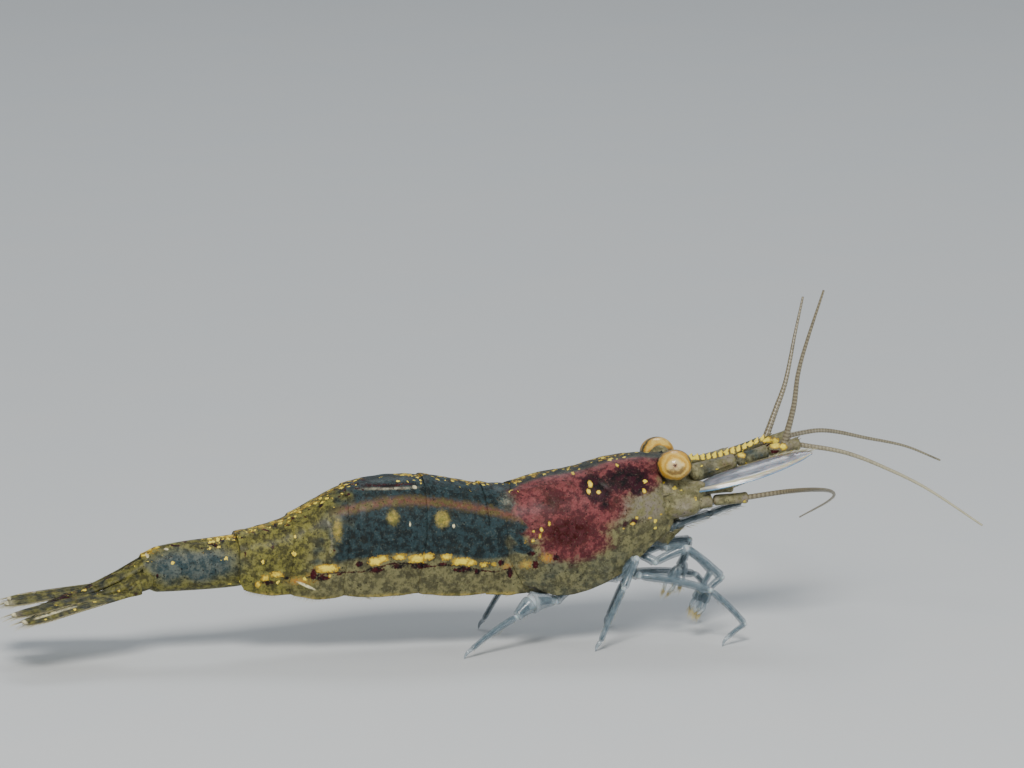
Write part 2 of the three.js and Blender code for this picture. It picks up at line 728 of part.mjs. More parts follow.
const bodyRoom = [carapaceBlock(GAP), thoraxGeometry(GAP)];
for (const [name, side] of SIDES) {
  add(`eye_${name}`, eyeGeometry(side), FINISH.eye);
  const stalk = cutBy(stalkGeometry(side), [eyeGeometry(side, GAP), headGeometry(GAP)]);
  add(`eyestalk_${name}`, stalk, FINISH.flesh);

  const antennule = (grow) => limb(ANTENNULE[name], { grow });
  add(`antennule_${name}`, cutBy(antennule(0), [headGeometry(GAP)]), FINISH.flesh);
  const raised = cutBy(feeler(RAISED_FEELER[name], 10), [antennule(GAP)]);
  add(`antennule_feeler_raised_${name}`, raised, FINISH.feeler);
  const forward = cutBy(feeler(FORWARD_FEELER[name], 12), [antennule(GAP)]);
  add(`antennule_feeler_forward_${name}`, forward, FINISH.feeler);

  const base = (grow) => limb(mirrored(ANTENNA_BASE, side), { count: 8, grow });
  add(`antenna_${name}`, cutBy(base(0), [headGeometry(GAP), carapaceBlock(GAP)]), FINISH.flesh);
  add(`antenna_whip_${name}`, cutBy(feeler(WHIP[name], WHIP_STEPS), [base(GAP)]), FINISH.feeler);
  const { tilt, out, up } = SCALE_POSE[name];
  const scale = blade(
    ANTENNA_SCALE.map((s) => ({ ...s, at: [s.at[0], side * (s.at[1] + out), s.at[2] + up] })),
    { tilt },
  );
  add(`antenna_scale_${name}`, cutBy(scale, [base(GAP), headGeometry(GAP)]), FINISH.scale);

  const maxilliped = limb(mirrored(MAXILLIPED, side));
  add(`maxilliped_${name}`, cutBy(maxilliped, bodyRoom), FINISH.limb);
  for (const number of [1, 2]) {
    add(`leg_${number}_${name}`, cutBy(limb(CLAW_LEGS[number][name]), bodyRoom), FINISH.limb);
    add(`claw_${number}_${name}`, limb(CLAWS[number][name]), FINISH.limb);
  }
  for (const number of [3, 4, 5]) {
    const leg = limb(WALKING_LEGS[number][name], { foot: true });
    add(`leg_${number}_${name}`, cutBy(leg, bodyRoom), FINISH.limb);
  }
  SWIMMERET_ROOTS.forEach((x, i) =>
    add(`swimmeret_${i + 1}_${name}`, swimmeretGeometry(side, x), FINISH.limb),
  );

  const inner = (grow) => fanBlade(side, INNER_BLADE, grow);
  add(`tail_inner_${name}`, cutBy(inner(0), [telsonGeometry(GAP)]), FINISH.fan);
  const outer = cutBy(fanBlade(side, OUTER_BLADE), [inner(GAP), telsonGeometry(GAP)]);
  add(`tail_outer_${name}`, outer, FINISH.fan);
}

// The origin is on the ground, under the middle of the animal's box.
const box = new THREE.Box3().setFromObject(shrimp);
const middle = box.getCenter(v3(0, 0, 0));
shrimp.position.set(-middle.x, -middle.y, -box.min.z);

export default shrimp;
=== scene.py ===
"""A dwarf freshwater shrimp, life size, built around its frame.

Lengths in the shape functions are millimetres in the animal's own axes: the head along +X, its left side
+Y, heights from the ground. placed() turns them to metres in the frame's axes.
"""

from itertools import pairwise

import bpy
import numpy as np
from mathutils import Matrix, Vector


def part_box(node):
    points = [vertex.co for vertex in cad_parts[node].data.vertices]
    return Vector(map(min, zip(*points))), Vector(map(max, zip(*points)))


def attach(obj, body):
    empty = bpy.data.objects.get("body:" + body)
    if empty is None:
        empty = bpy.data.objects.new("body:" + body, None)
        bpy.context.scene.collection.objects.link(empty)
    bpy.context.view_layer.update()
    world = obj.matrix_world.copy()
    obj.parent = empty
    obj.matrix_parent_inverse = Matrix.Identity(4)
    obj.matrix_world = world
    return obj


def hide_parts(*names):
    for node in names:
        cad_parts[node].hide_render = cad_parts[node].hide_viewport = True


bl_info = {
    "name": "Dwarf Shrimp",
    "version": (1, 0, 0),
    "blender": (4, 5, 0),
    "location": "3D View > Sidebar > Shrimp",
    "description": "Builds the shell, flesh, limbs, feelers and eyes of a dwarf shrimp on its frame",
    "category": "Object",
}

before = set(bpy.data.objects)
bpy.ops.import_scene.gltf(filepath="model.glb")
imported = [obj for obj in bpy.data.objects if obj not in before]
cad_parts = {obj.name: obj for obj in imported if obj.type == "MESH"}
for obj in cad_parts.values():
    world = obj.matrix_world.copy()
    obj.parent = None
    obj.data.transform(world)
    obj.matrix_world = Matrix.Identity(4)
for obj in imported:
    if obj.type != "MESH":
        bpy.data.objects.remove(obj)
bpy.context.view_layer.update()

MM = 0.001
RIGHT, LEFT = -1, 1
SIDES = (("right", RIGHT), ("left", LEFT))

EYE = {"x": 7.58, "y": 1.35, "z": 6.62, "radius": 0.645, "flat": 0.88}
_low, _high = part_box("eye_right")
SHIFT = np.array((_low + _high) / 2) / MM - np.array((EYE["x"], RIGHT * EYE["y"], EYE["z"]))


# ---- numbers and curves
def linear(code):
    """An sRGB hex colour as linear red, green, blue and alpha."""
    share = np.array([int(code[i : i + 2], 16) for i in (1, 3, 5)]) / 255
    rgb = np.where(share <= 0.04045, share / 12.92, ((share + 0.055) / 1.055) ** 2.4)
    return (*rgb.tolist(), 1.0)


def placed(points):
    """Animal millimetres to metres in the frame's axes."""
    return (np.asarray(points, float) + SHIFT) * MM


def unit(vectors):
    """The same directions with length 1."""
    return vectors / np.linalg.norm(vectors, axis=-1, keepdims=True)


def turns(count):
    """Even angles round a circle."""
    return 2 * np.pi * np.arange(count) / count


def step(low, high, value):
    """0 at low, 1 at high, and a smooth S between them."""
    t = np.clip((value - low) / (high - low), 0, 1)
    return t * t * (3 - 2 * t)


def edge(value, soft):
    """0 where a value is well below 0 and 1 where it is well above, over a slope `soft` wide."""
    return np.clip(0.5 + value / soft, 0, 1)


def bump_at(value, centre, width):
    """A bell of height 1 at centre: e to minus the square of the distance over width."""
    return np.exp(-(((value - centre) / width) ** 2))


def through(knots, values, at):
    """The smooth curve through values at knots: cubics whose slope at a knot is its neighbours' chord."""
    knots, values, at = (np.asarray(a, float) for a in (knots, values, at))
    last = len(knots) - 1
    before = np.maximum(np.arange(last + 1) - 1, 0)
    after = np.minimum(np.arange(last + 1) + 1, last)
    extra = (slice(None),) + (None,) * (values.ndim - 1)
    slopes = (values[after] - values[before]) / (knots[after] - knots[before])[extra]
    i = np.clip(np.searchsorted(knots, at, side="right") - 1, 0, last - 1)
    span = knots[i + 1] - knots[i]
    t = np.clip((at - knots[i]) / span, -0.2, 1.2)
    grown = (...,) + (None,) * (values.ndim - 1)
    t, span = t[grown], span[grown]
    return (
        values[i] * (2 * t**3 - 3 * t**2 + 1)
        + values[i + 1] * (3 * t**2 - 2 * t**3)
        + slopes[i] * span * (t**3 - 2 * t**2 + t)
        + slopes[i + 1] * span * (t**3 - t**2)
    )


def along(stops, count):
    """Shares, places and directions of `count` even steps on the smooth curve through stops."""
    stops = np.asarray(stops, float)
    lengths = np.linalg.norm(np.diff(stops[:, :3], axis=0), axis=1)
    knots = np.concatenate([[0], np.cumsum(lengths)]) / lengths.sum()
    share = np.linspace(0, 1, count)
    path = through(knots, stops, share)
    return share, path, unit(np.gradient(path[:, :3], axis=0))


def columns(stations, x):
    """Each further column of a table of stations along x, on the smooth curve through it, at x."""
    stations = np.array(sorted(stations))
    return through(stations[:, 0], stations[:, 1:], x).T


def across(ways, reference):
    """The side and up directions of a path or of one direction: side is square to it and the reference."""
    side = unit(np.cross(np.broadcast_to(reference, ways.shape), ways))
    return side, np.cross(ways, side)


def ripple(points, size, seed):
    """A soft random field from about -1 to 1: twelve sine waves, each about `size` long, added up."""
    rng = np.random.default_rng(seed)
    ways = unit(rng.normal(size=(12, 3))) * rng.uniform(0.7, 1.4, (12, 1)) * 2 * np.pi / size
    return np.sin(points @ ways.T + rng.uniform(0, 2 * np.pi, 12)).sum(-1) / np.sqrt(12)


# ---- closed skins
TUFT_PATCH = 0.003  # width of one hair's patch in the coat's UV map


class Skin:
    """Closed surfaces: points, faces, named values at the points, and which of a piece's materials."""

    def __init__(self, points, faces, values, look=0):
        self.points = points
        self.faces = faces
        self.values = values
        self.look = look


def facing_out(points, faces):
    """Turns the faces over where the volume they enclose, summed from corner products, is negative."""
    local = points - points.mean(0)
    volume = 0.0
    for face in faces:
        for corner in range(1, face.shape[1] - 1):
            a, b, c = local[face[:, 0]], local[face[:, corner]], local[face[:, corner + 1]]
            volume += np.einsum("ij,ij->i", a, np.cross(b, c)).sum()
    return [face[:, ::-1] for face in faces] if volume < 0 else faces


def loft(rings, ends="points", look=0, **values):
    """Closed skins over (bodies, rings, around, 3) points. Each end is drawn to the mean of its ring,
    or with ends="strips" point i of an end ring is joined to point -1-i."""
    rings = np.asarray(rings, float)
    rings = rings[None] if rings.ndim == 3 else rings
    bodies, count, around, _ = rings.shape
    grid = np.arange(count * around).reshape(count, around)
    right = np.roll(grid, -1, axis=1)
    quads = np.stack([grid[:-1], right[:-1], right[1:], grid[1:]], axis=-1).reshape(-1, 4)
    points = rings.reshape(bodies, -1, 3)
    fields = {k: np.broadcast_to(v, rings.shape[:3]).reshape(bodies, -1) for k, v in values.items()}
    if ends == "points":
        points = np.concatenate([points, rings[:, [0, -1]].mean(axis=2)], axis=1)
        for name, field in fields.items():
            tips = field.reshape(rings.shape[:3])[:, [0, -1]].mean(axis=2)
            fields[name] = np.concatenate([field, tips], axis=1)
        pole = np.full(around, count * around)
        first = np.stack([right[0], grid[0], pole], axis=-1)
        last = np.stack([grid[-1], right[-1], pole + 1], axis=-1)
        faces = [quads, np.concatenate([first, last])]
    else:
        i = np.arange(around // 2 - 1)
        strip = np.stack([i, i + 1, around - 2 - i, around - 1 - i], axis=-1)
        faces = [np.concatenate([quads, grid[0][strip[:, ::-1]], grid[-1][strip]])]
    offset = (np.arange(bodies) * points.shape[1])[:, None, None]
    faces = [(face[None] + offset).reshape(-1, face.shape[1]) for face in faces]
    points = points.reshape(-1, 3)
    fields = {name: field.reshape(-1) for name, field in fields.items()}
    return Skin(points, facing_out(points, faces), fields, look)


def across_x(x, y, z):
    """A closed skin over rings that stand across the body: y and z round each station x."""
    return loft(np.stack([np.broadcast_to(x, y.shape), y, z], axis=-1))


def tube(path, ways, wide, deep=None, reference=(0, 0, 1), around=14):
    """Rings round a path, `wide` to the side and `deep` upwards, which may vary along it."""
    deep = wide if deep is None else deep
    side, up = across(ways, reference)
    angle = turns(around)
    wide, deep = (np.broadcast_to(a, len(path))[:, None, None] for a in (wide, deep))
    out = side[:, None] * np.cos(angle)[None, :, None] * wide
    return path[:, None] + out + up[:, None] * np.sin(angle)[None, :, None] * deep


def rod(stops, count, reference=(0, 0, 1), around=28, deep=1.0):
    """A closed tube through stops (x, y, z, half thickness), `deep` times as thick upwards."""
    _, path, ways = along(stops, count)
    return loft(tube(path[:, :3], ways, path[:, 3], deep * path[:, 3], reference, around))


def ball(centre, radius, axis, polar, around):
    """Rings of a ball round an axis: each stands at a polar angle, which runs from 0 at the axis to pi.
    Returns the rings and each point's direction from the centre."""
    first, second = across(axis, (0, 1, 0) if axis[2] > 0.9 else (0, 0, 1))
    angle = turns(around)
    round_ = first * np.cos(angle)[:, None] + second * np.sin(angle)[:, None]
    out = axis * np.cos(polar)[:, None, None] + round_ * np.sin(polar)[:, None, None]
    return centre + radius * out, out


def hairs(roots, ways, lengths, width, curl, u, v, steps=5):
    """Tapered three-sided hairs. Each leaves its root along its way and bends by curl as it grows."""
    share = np.linspace(0, 1, steps)[None, :, None]
    lengths = np.broadcast_to(lengths, len(roots))[:, None, None]
    line = roots[:, None] + lengths * (share * ways[:, None] + share**2 * np.asarray(curl)[..., None, :])
    side, up = across(ways, unit(np.array((0.31, 0.52, 0.79))))
    angle = turns(3)
    ring = np.cos(angle)[:, None] * side[:, None] + np.sin(angle)[:, None] * up[:, None]
    thick = np.broadcast_to(width, len(roots))[:, None, None, None] * (1 - 0.85 * share[..., None])
    rings = line[:, :, None] + thick * ring[:, None]
    return loft(rings, u=u[:, None, None], v=v[:, None, None], tip=share)


def set_fields(mesh, fields):
    """Writes values at the points of a mesh as named attributes."""
    for key, values in fields.items():
        attribute = mesh.attributes.new(key, "FLOAT", "POINT")
        attribute.data.foreach_set("value", np.asarray(values, np.float32))


def mesh_of(name, skins):
    """One mesh of many skins, with their values as attributes and their u and v as the coat's UV map."""
    mesh = bpy.data.meshes.new(name)
    starts = np.cumsum([0] + [len(skin.points) for skin in skins])
    points = placed(np.concatenate([skin.points for skin in skins]))
    faces = [(face + start, skin.look) for skin, start in zip(skins, starts) for face in skin.faces]
    corners = np.concatenate([face.ravel() for face, _ in faces])
    sizes = np.concatenate([np.full(len(face), face.shape[1]) for face, _ in faces])
    looks = np.concatenate([np.full(len(face), look) for face, look in faces])
    mesh.vertices.add(len(points))
    mesh.loops.add(len(corners))
    mesh.polygons.add(len(sizes))
    mesh.vertices.foreach_set("co", points.ravel())
    mesh.loops.foreach_set("vertex_index", corners)
    mesh.polygons.foreach_set("loop_start", np.concatenate([[0], np.cumsum(sizes)[:-1]]))
    mesh.polygons.foreach_set("material_index", looks)
    mesh.update(calc_edges=True)
    mesh.shade_smooth()
    names = sorted({key for skin in skins for key in skin.values})
    fields = {
        key: np.concatenate([skin.values.get(key, np.zeros(len(skin.points))) for skin in skins])
        for key in names
    }
    if "u" in fields:
        patch = TUFT_PATCH * np.stack([corners % 3, corners // 3 % 3], axis=-1) / 2
        place = np.stack([fields.pop("u"), fields.pop("v")], axis=-1)
        coat = mesh.uv_layers.new(name="OFBake")
        coat.data.foreach_set("uv", (place[corners] + patch).astype(np.float32).ravel())
    set_fields(mesh, fields)
    return mesh


def make_piece(name, form, materials, slot, *stands_for):
    """Puts a mesh, or a list of skins, in the scene as one piece on the body, and hides the solids that
    it stands for."""
    mesh = form if isinstance(form, bpy.types.Mesh) else mesh_of(name, form)
    piece = bpy.data.objects.new(name, mesh)
    bpy.context.scene.collection.objects.link(piece)
    for material in materials:
        mesh.materials.append(material)
    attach(piece, "root")
    if stands_for:
        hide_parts(*stands_for)


# ---- the body's form
# Stations along the body, rear to front. back: height of the back. broad and half: height and half of
# the greatest width. hem: height of the lower edge of the side plates. belly: height between them.
ABDOMEN_FORM = {
    "x": (-8.8, -6.9, -5.7, -4.5, -3.1, -1.6, 0.5, 2.0),
    "back": (4.52, 5.0, 5.64, 6.2, 6.46, 6.42, 6.04, 5.86),
    "broad": (3.5, 3.75, 3.95, 4.15, 4.3, 4.35, 4.3, 4.2),
    "half": (0.95, 1.2, 1.38, 1.54, 1.64, 1.68, 1.62, 1.52),
    "hem": (2.5, 2.28, 2.16, 2.18, 2.2, 2.15, 2.08, 2.1),
    "belly": (2.95, 3.0, 3.1, 3.2, 3.3, 3.3, 3.2, 3.1),
}
CARAPACE_FORM = {
    "x": (1.3, 2.7, 4.0, 5.3, 6.4, 7.5),
    "back": (5.86, 6.26, 6.44, 6.77, 6.88, 6.84),
    "broad": (4.0, 4.05, 4.2, 4.55, 5.0, 5.4),
    "half": (1.58, 1.8, 1.86, 1.78, 1.52, 1.16),
    "hem": (2.2, 1.96, 2.1, 2.6, 3.35, 4.3),
    "belly": (3.1, 3.0, 3.1, 3.45, 4.0, 4.75),
}
ROUND_SHARE = 0.45  # share of the way from the back to the hem that the rounded back takes
TUCK = 0.14  # how much narrower the body is at the hem, as a share
FULLNESS = 0.9  # under 1 squares the back's round a little
BELLY_SHARE = 0.71  # where the underside turns from the side plate's wall to the belly
JUNCTION = 1.6  # where the carapace gives way to the abdomen


def measure(form, key, x):
    """One of a form's measures at x, on the smooth curve through its stations."""
    return through(form["x"], form[key], x)


def height_of(key, x):
    """One of the body's heights anywhere along it, from the carapace or the abdomen."""
    return np.where(x > JUNCTION, measure(CARAPACE_FORM, key, x), measure(ABDOMEN_FORM, key, x))


def flank(form, x, down, grow=0.0, lift=0.0):
    """Half width and height of the body's outside, `down` of the way from the back (0) to the hem (1):
    a quarter of a squared round as far as the greatest width, then a wall that tucks in."""
    broad = measure(form, "broad", x)
    turn = np.clip(down / ROUND_SHARE, 0, 1) * np.pi / 2
    fall = np.clip((down - ROUND_SHARE) / (1 - ROUND_SHARE), 0, 1)
    rise = (measure(form, "back", x) + grow - broad) * np.clip(np.cos(turn), 0, 1) ** FULLNESS
    half = (measure(form, "half", x) + grow) * np.sin(turn) ** FULLNESS * (1 - TUCK * fall**2)
    return half, broad + rise - (broad - (measure(form, "hem", x) + lift - grow)) * fall


EDGE_OUT = np.array((0.03, 0.014, 0.005, 0.0, 0.012))  # how far each ring of a rim is from its edge
EDGE_GROW = np.array((0.0, -0.002, -0.01, -0.025, -0.09))  # and how far it sinks as it turns in


def plate(form, front, rear, lip, over_front, over_rear, lift=None, relief=None, steps=60, fine=84):
    """A shell plate over the back and both sides, closed below by its thin side walls and the belly.

    front and rear give an edge's place for each share of the way down, over_front and over_rear say
    whether that edge lies over its neighbour (1) or under it (-1). An edge that lies over stands `lip`
    proud and rolls in. One that lies under runs on beneath its neighbour.
    """
    half_way = np.linspace(1, 0, fine)
    down = np.concatenate([half_way, half_way[-2::-1]])
    hand = np.concatenate([np.full(fine - 1, RIGHT), [0], np.full(fine - 1, LEFT)])
    spread = 0.28 + 0.3 * step(0.7, 1.0, down)  # how far an edge runs on, more near the hem
    start = front(down) + spread * np.clip(-over_front(down), 0, 1)
    end = rear(down) - spread * np.clip(-over_rear(down), 0, 1)
    share = np.concatenate([np.zeros(5), np.linspace(0, 1, steps), np.ones(5)])[:, None]
    inset = np.concatenate([-EDGE_OUT[::-1], np.linspace(-0.06, 0.06, steps), EDGE_OUT])[:, None]
    sink = np.concatenate([EDGE_GROW[::-1], np.zeros(steps), EDGE_GROW])[:, None]
    x = start + (end - start) * share + inset
    near_front = bump_at(np.clip(start - x, 0, None), 0, 0.3)
    near_rear = bump_at(np.clip(x - end, 0, None), 0, 0.3)
    grow = sink + lip * (near_front * over_front(down) + near_rear * over_rear(down))
    corner = np.zeros_like(x) if lift is None else lift(share) + 0 * x
    down = np.broadcast_to(down, x.shape)
    _, z = flank(form, x, down, grow, corner)
    if relief is not None:
        grow = grow + relief(x, z, down)
    y, z = flank(form, x, down, grow, corner)
    outer = np.stack([x, y * hand, z], axis=-1)
    wall_share = np.clip((1 - down) / (1 - BELLY_SHARE), 0, 1)
    wall = 0.05 + 0.25 * wall_share  # thin at the hem and thicker up the side
    deep = np.clip(down / BELLY_SHARE, 0, 1)
    inner_y = np.clip(y - wall, 0, None) * deep
    inner_z = np.minimum(z + 0.015, measure(form, "belly", x))
    inner = np.stack([x, inner_y * hand, inner_z], axis=-1)[:, ::-1]
    rings = np.concatenate([outer, inner], axis=1)
    return loft(rings, ends="strips")


# ---- markings
# Places are (along, up) on the side of the animal, and both sides wear the same.
GOLD_BARS = (  # along, up, half length, half height
    (-7.94, 2.79, 0.09, 0.11), (-7.69, 3.03, 0.14, 0.1), (-7.25, 3.14, 0.24, 0.1),
    (-5.44, 3.34, 0.41, 0.15), (-3.7, 3.56, 0.26, 0.16), (-3.42, 3.66, 0.2, 0.12),
    (-2.78, 3.7, 0.22, 0.11), (-2.15, 3.6, 0.3, 0.16), (-1.76, 3.68, 0.22, 0.13),
    (-1.06, 3.62, 0.2, 0.11), (-0.5, 3.42, 0.34, 0.15), (-0.14, 3.36, 0.2, 0.12),
    (0.35, 3.25, 0.15, 0.09), (0.72, 3.25, 0.1, 0.06),
)
GOLD_DOTS = (  # along, up, half length, half height
    (4.41, 6.02, 0.09, 0.13), (4.31, 5.79, 0.08, 0.1), (4.67, 5.76, 0.09, 0.07),
    (5.53, 6.6, 0.06, 0.05), (6.41, 5.71, 0.08, 0.09), (2.76, 4.71, 0.06, 0.08),
    (2.47, 4.5, 0.07, 0.09), (2.18, 4.44, 0.06, 0.06), (2.4, 4.26, 0.06, 0.08),
    (2.14, 4.12, 0.07, 0.06), (1.86, 4.05, 0.06, 0.05), (5.94, 4.56, 0.1, 0.06),
    (6.1, 4.76, 0.06, 0.07), (6.63, 4.7, 0.07, 0.04), (5.55, 4.41, 0.05, 0.04), (7.1, 4.78, 0.05, 0.04),
    (3.92, 6.33, 0.06, 0.04), (-5.35, 3.05, 0.05, 0.07),
)
ORANGE_PATCHES = (  # along, up, half length, half height
    (1.92, 3.22, 0.24, 0.2), (2.65, 3.45, 0.28, 0.2), (1.2, 3.15, 0.25, 0.14), (-6.4, 2.9, 0.62, 0.16),
    (-6.0, 3.1, 0.2, 0.1),
)
WINE_SPOTS = (  # along, up, half length, half height
    (-7.55, 2.84, 0.22, 0.09), (-6.9, 3.0, 0.1, 0.07), (-5.95, 3.12, 0.12, 0.26),
    (-5.6, 2.98, 0.3, 0.1), (-5.0, 3.12, 0.12, 0.06), (-4.28, 3.47, 0.14, 0.12),
    (-3.68, 3.24, 0.3, 0.12), (-2.85, 3.34, 0.26, 0.09), (-2.05, 3.34, 0.36, 0.13),
    (-1.2, 3.36, 0.2, 0.08), (-0.45, 3.12, 0.4, 0.11), (0.1, 3.0, 0.14, 0.1), (1.0, 3.3, 0.12, 0.12),
    (1.35, 2.9, 0.12, 0.22), (2.25, 3.2, 0.12, 0.18), (2.1, 3.62, 0.14, 0.1), (3.0, 3.45, 0.14, 0.12),
    (-3.1, 6.22, 1.0, 0.05), (-5.2, 4.0, 0.04, 0.1), (-7.4, 4.15, 0.05, 0.12), (-8.4, 3.95, 0.04, 0.12),
    (-11.6, 3.2, 0.06, 0.1),
)
CREAM_SPOTS = (  # along, up, half length, half height, and the last one's tilt
    (-2.41, 4.9, 0.035, 0.09), (-0.79, 4.76, 0.055, 0.08), (-2.1, 6.13, 0.08, 0.06),
    (-11.9, 3.9, 0.06, 0.08), (-11.2, 4.1, 0.07, 0.03), (-11.8, 2.95, 0.05, 0.04),
    (-6.2, 2.7, 0.36, 0.05, -0.45),
)
# These hold the same measures, and a tilt where there is a fifth number.
CREAM_LINE = ((-3.1, 6.12, 1.05, 0.045),)
SOFT_GOLD = ((-3.03, 5.15, 0.22, 0.26), (-1.2, 5.03, 0.28, 0.3), (-5.06, 4.75, 0.16, 0.4))
BLUSH = (
    (3.5, 5.3, 2.3, 1.3, 0.12), (5.75, 6.3, 1.6, 0.78, 0.1), (3.7, 3.95, 1.35, 0.65, 0.1),
    (2.0, 5.1, 1.05, 0.5, -0.25),
)
DEEP_WINE = ((3.45, 4.4, 1.05, 0.62, 0.1), (3.0, 5.5, 0.6, 0.35, 0.1), (5.0, 5.3, 0.35, 0.25, 0.0))
NIGHT = (
    (4.62, 5.88, 0.62, 0.5, -0.2), (5.75, 6.17, 1.0, 0.42, 0.1), (6.2, 5.8, 0.5, 0.26, 0.25),
    (4.85, 5.35, 0.22, 0.2, 0.0), (5.93, 4.6, 0.42, 0.13, 0.1),
)
BACK_GOLD = (  # stretches of the back's midline with gold flecks: rear end, front end, half width
    (-12.0, -11.5, 0.45), (-9.6, -8.5, 0.4), (-8.3, -4.0, 0.4), (-2.35, -1.4, 0.45), (-0.8, -0.3, 0.35),
    (-0.1, 1.05, 0.38), (1.75, 3.25, 0.38), (4.0, 4.15, 0.3), (4.9, 5.5, 0.4), (5.8, 6.05, 0.4),
)


def blotches(x, z, places, soft, square=2.0):
    """1 inside, 0.5 on the edge and 0 outside the nearest of many ellipses, over a rim `soft` wide. A
    place is (along, up, half length, half height), with a tilt in radians where there is a fifth."""
    found = np.zeros_like(x)
    for place in places:
        cx, cz, rx, rz = place[:4]
        tilt = place[4] if len(place) > 4 else 0.0
        dx, dz = x - cx, z - cz
        a = dx * np.cos(tilt) + dz * np.sin(tilt)
        b = dz * np.cos(tilt) - dx * np.sin(tilt)
        far = (np.abs(a / rx) ** square + np.abs(b / rz) ** square) ** (1 / square)
        found = np.maximum(found, edge((1 - far) * min(rx, rz), soft))
    return found


def window(x, low, high, soft):
    """1 between low and high, falling to 0 over `soft` outside them."""
    return step(low - soft, low, x) * (1 - step(high, high + soft, x))


def body_marks(points):
    """How much of each marking a point of the shell wears, from where it lies on the body."""
    x, y, z = points.T
    side = np.abs(y)
    back = height_of("back", x)
    bars = through((-8.0, -5.4, -3.6, -2.8, -1.0, 0.4, 2.4), (3.1, 3.36, 3.6, 3.68, 3.55, 3.3, 3.4), x)
    band = through((-5.8, -3.3, -2.0, 0.1, 1.7, 2.8), (5.22, 5.68, 5.68, 5.35, 4.93, 4.7), x)
    wobble = 0.3 * ripple(points, 1.1, 3) + 0.12 * ripple(points, 0.4, 4)
    tail = 1 - step(-7.0, -4.4, x + wobble - 0.5 * (z - 4))
    last = blotches(x + 0.6 * wobble, z + 0.3 * wobble, ((-10.3, 3.52, 1.6, 0.56, 0.03),), 0.7)
    muscle = edge(z - bars - 0.14, 0.35) * window(x + wobble, -5.3, 1.2, 1.1)
    pink = edge(0.16 - np.abs(z - band), 0.42) * window(x, -4.6, 2.9, 1.3)
    # Darker along the top of the back.
    dusk = edge(z - back + np.where(x > JUNCTION, 0.2, 0.55), 0.5) * window(x, -6.0, 7.2, 0.9)
    red = blotches(x + 0.1 * wobble, z, BLUSH, 0.8) * step(0.9, 2.0, x + wobble)
    red = red * step(back + 0.02, back - 0.13, z)
    scallop = bars - 0.34 + 0.13 * np.abs(np.sin(np.pi * (x + 1.7) / 2.5))
    seam = edge(0.035 - np.abs(z - scallop), 0.08) * window(x, -6.2, 1.2, 0.3)
    hem = edge(0.13 - (z - height_of("hem", x)), 0.2) * window(x, -8.0, 1.4, 0.6)
    streak = bump_at(x + 5.28 + 0.25 * (z - 4.4) ** 2, 0, 0.1) * window(z, 3.95, 5.0, 0.3)
    # Painted highlight: a milky patch laid on the glassy dip where the carapace meets the first ring.
    shoulder_painted_highlight = blotches(x, z, ((1.35, 5.5, 0.42, 0.36),), 0.7)
    ridge = np.zeros_like(x)
    torn = 0.3 * ripple(points, 0.6, 6) + 0.2 * ripple(points, 0.25, 7)
    for start, end, half in BACK_GOLD:
        here = edge(half - side + 0.6 * torn, 0.6) * window(x + torn, start + 0.05, end - 0.05, 0.3)
        ridge = np.maximum(ridge, here * np.where(x > -8.6, z > back - 0.5, z > 3.7))
    grey = (0.34 + 0.15 * wobble) * window(x, 2.2, 6.6, 0.9) * step(4.3, 3.3, z)
    rust = np.clip(1.6 * (ripple(points, 0.3, 8) - 0.55), 0, 0.8) * (z > np.where(x > -8.6, back - 0.3, 4.1))
    return {
        "olive": tail * (1 - last),
        "dusk": dusk,
        "slate": muscle * (1 - tail),
        "mist": np.maximum(last, grey),
        "band": pink,
        "blush": red,
        "deep": blotches(x, z, DEEP_WINE, 0.8),
        "night": blotches(x, z, NIGHT, 0.5),
        "veil": blotches(x, z, ((5.6, 5.15, 0.8, 0.5, 0.2), (6.6, 5.2, 0.8, 0.7, 0.0)), 0.9),
        "soft_gold": np.maximum(blotches(x, z, SOFT_GOLD, 0.4), 0.75 * hem),
        "orange": 0.9 * blotches(x, z, ORANGE_PATCHES, 0.4),
        "wine": np.maximum.reduce([blotches(x, z, WINE_SPOTS, 0.16), 0.9 * seam, rust * (x < -3.5)]),
        "milk": np.maximum.reduce(
            [0.35 * hem, 0.45 * streak, 0.55 * shoulder_painted_highlight, 0.85 * blotches(x, z, CREAM_LINE, 0.08, 4.0)]
        ),
        "cream": blotches(x, z, CREAM_SPOTS, 0.08),
        "gold": np.maximum.reduce(
            [
                blotches(x, z, GOLD_BARS, 0.2, 3.0),
                blotches(x, z, GOLD_DOTS, 0.08),
                ridge * (0.48 + 0.12 * ripple(points, 0.45, 5)),
            ]
        ),
        "sprinkle": np.maximum.reduce([0.75 * ridge, 0.025 * tail * (1 - last), 0.035 * (x > 6.3)]),
        "soot": 0.1 + 0.14 * tail + 0.16 * last + 0.1 * red + 0.14 * muscle + 0.15 * ridge,
    }


def marked(skin, marks=body_marks):
    """The skin with its markings worked out from its points."""
    skin.values.update(marks(skin.points))
    return skin


# ---- materials
NOISE = "ShaderNodeTexNoise"
CELLS = "ShaderNodeTexVoronoi"
MATHS = "ShaderNodeMath"
VECTORS = "ShaderNodeVectorMath"
LEVELS = "ShaderNodeMapRange"
MIX = "ShaderNodeMix"
FIELD = "ShaderNodeAttribute"
BUMP = "ShaderNodeBump"
FACTOR, UNDER, OVER, MIXED = 0, 6, 7, 2  # where a colour Mix node has its inputs and its output


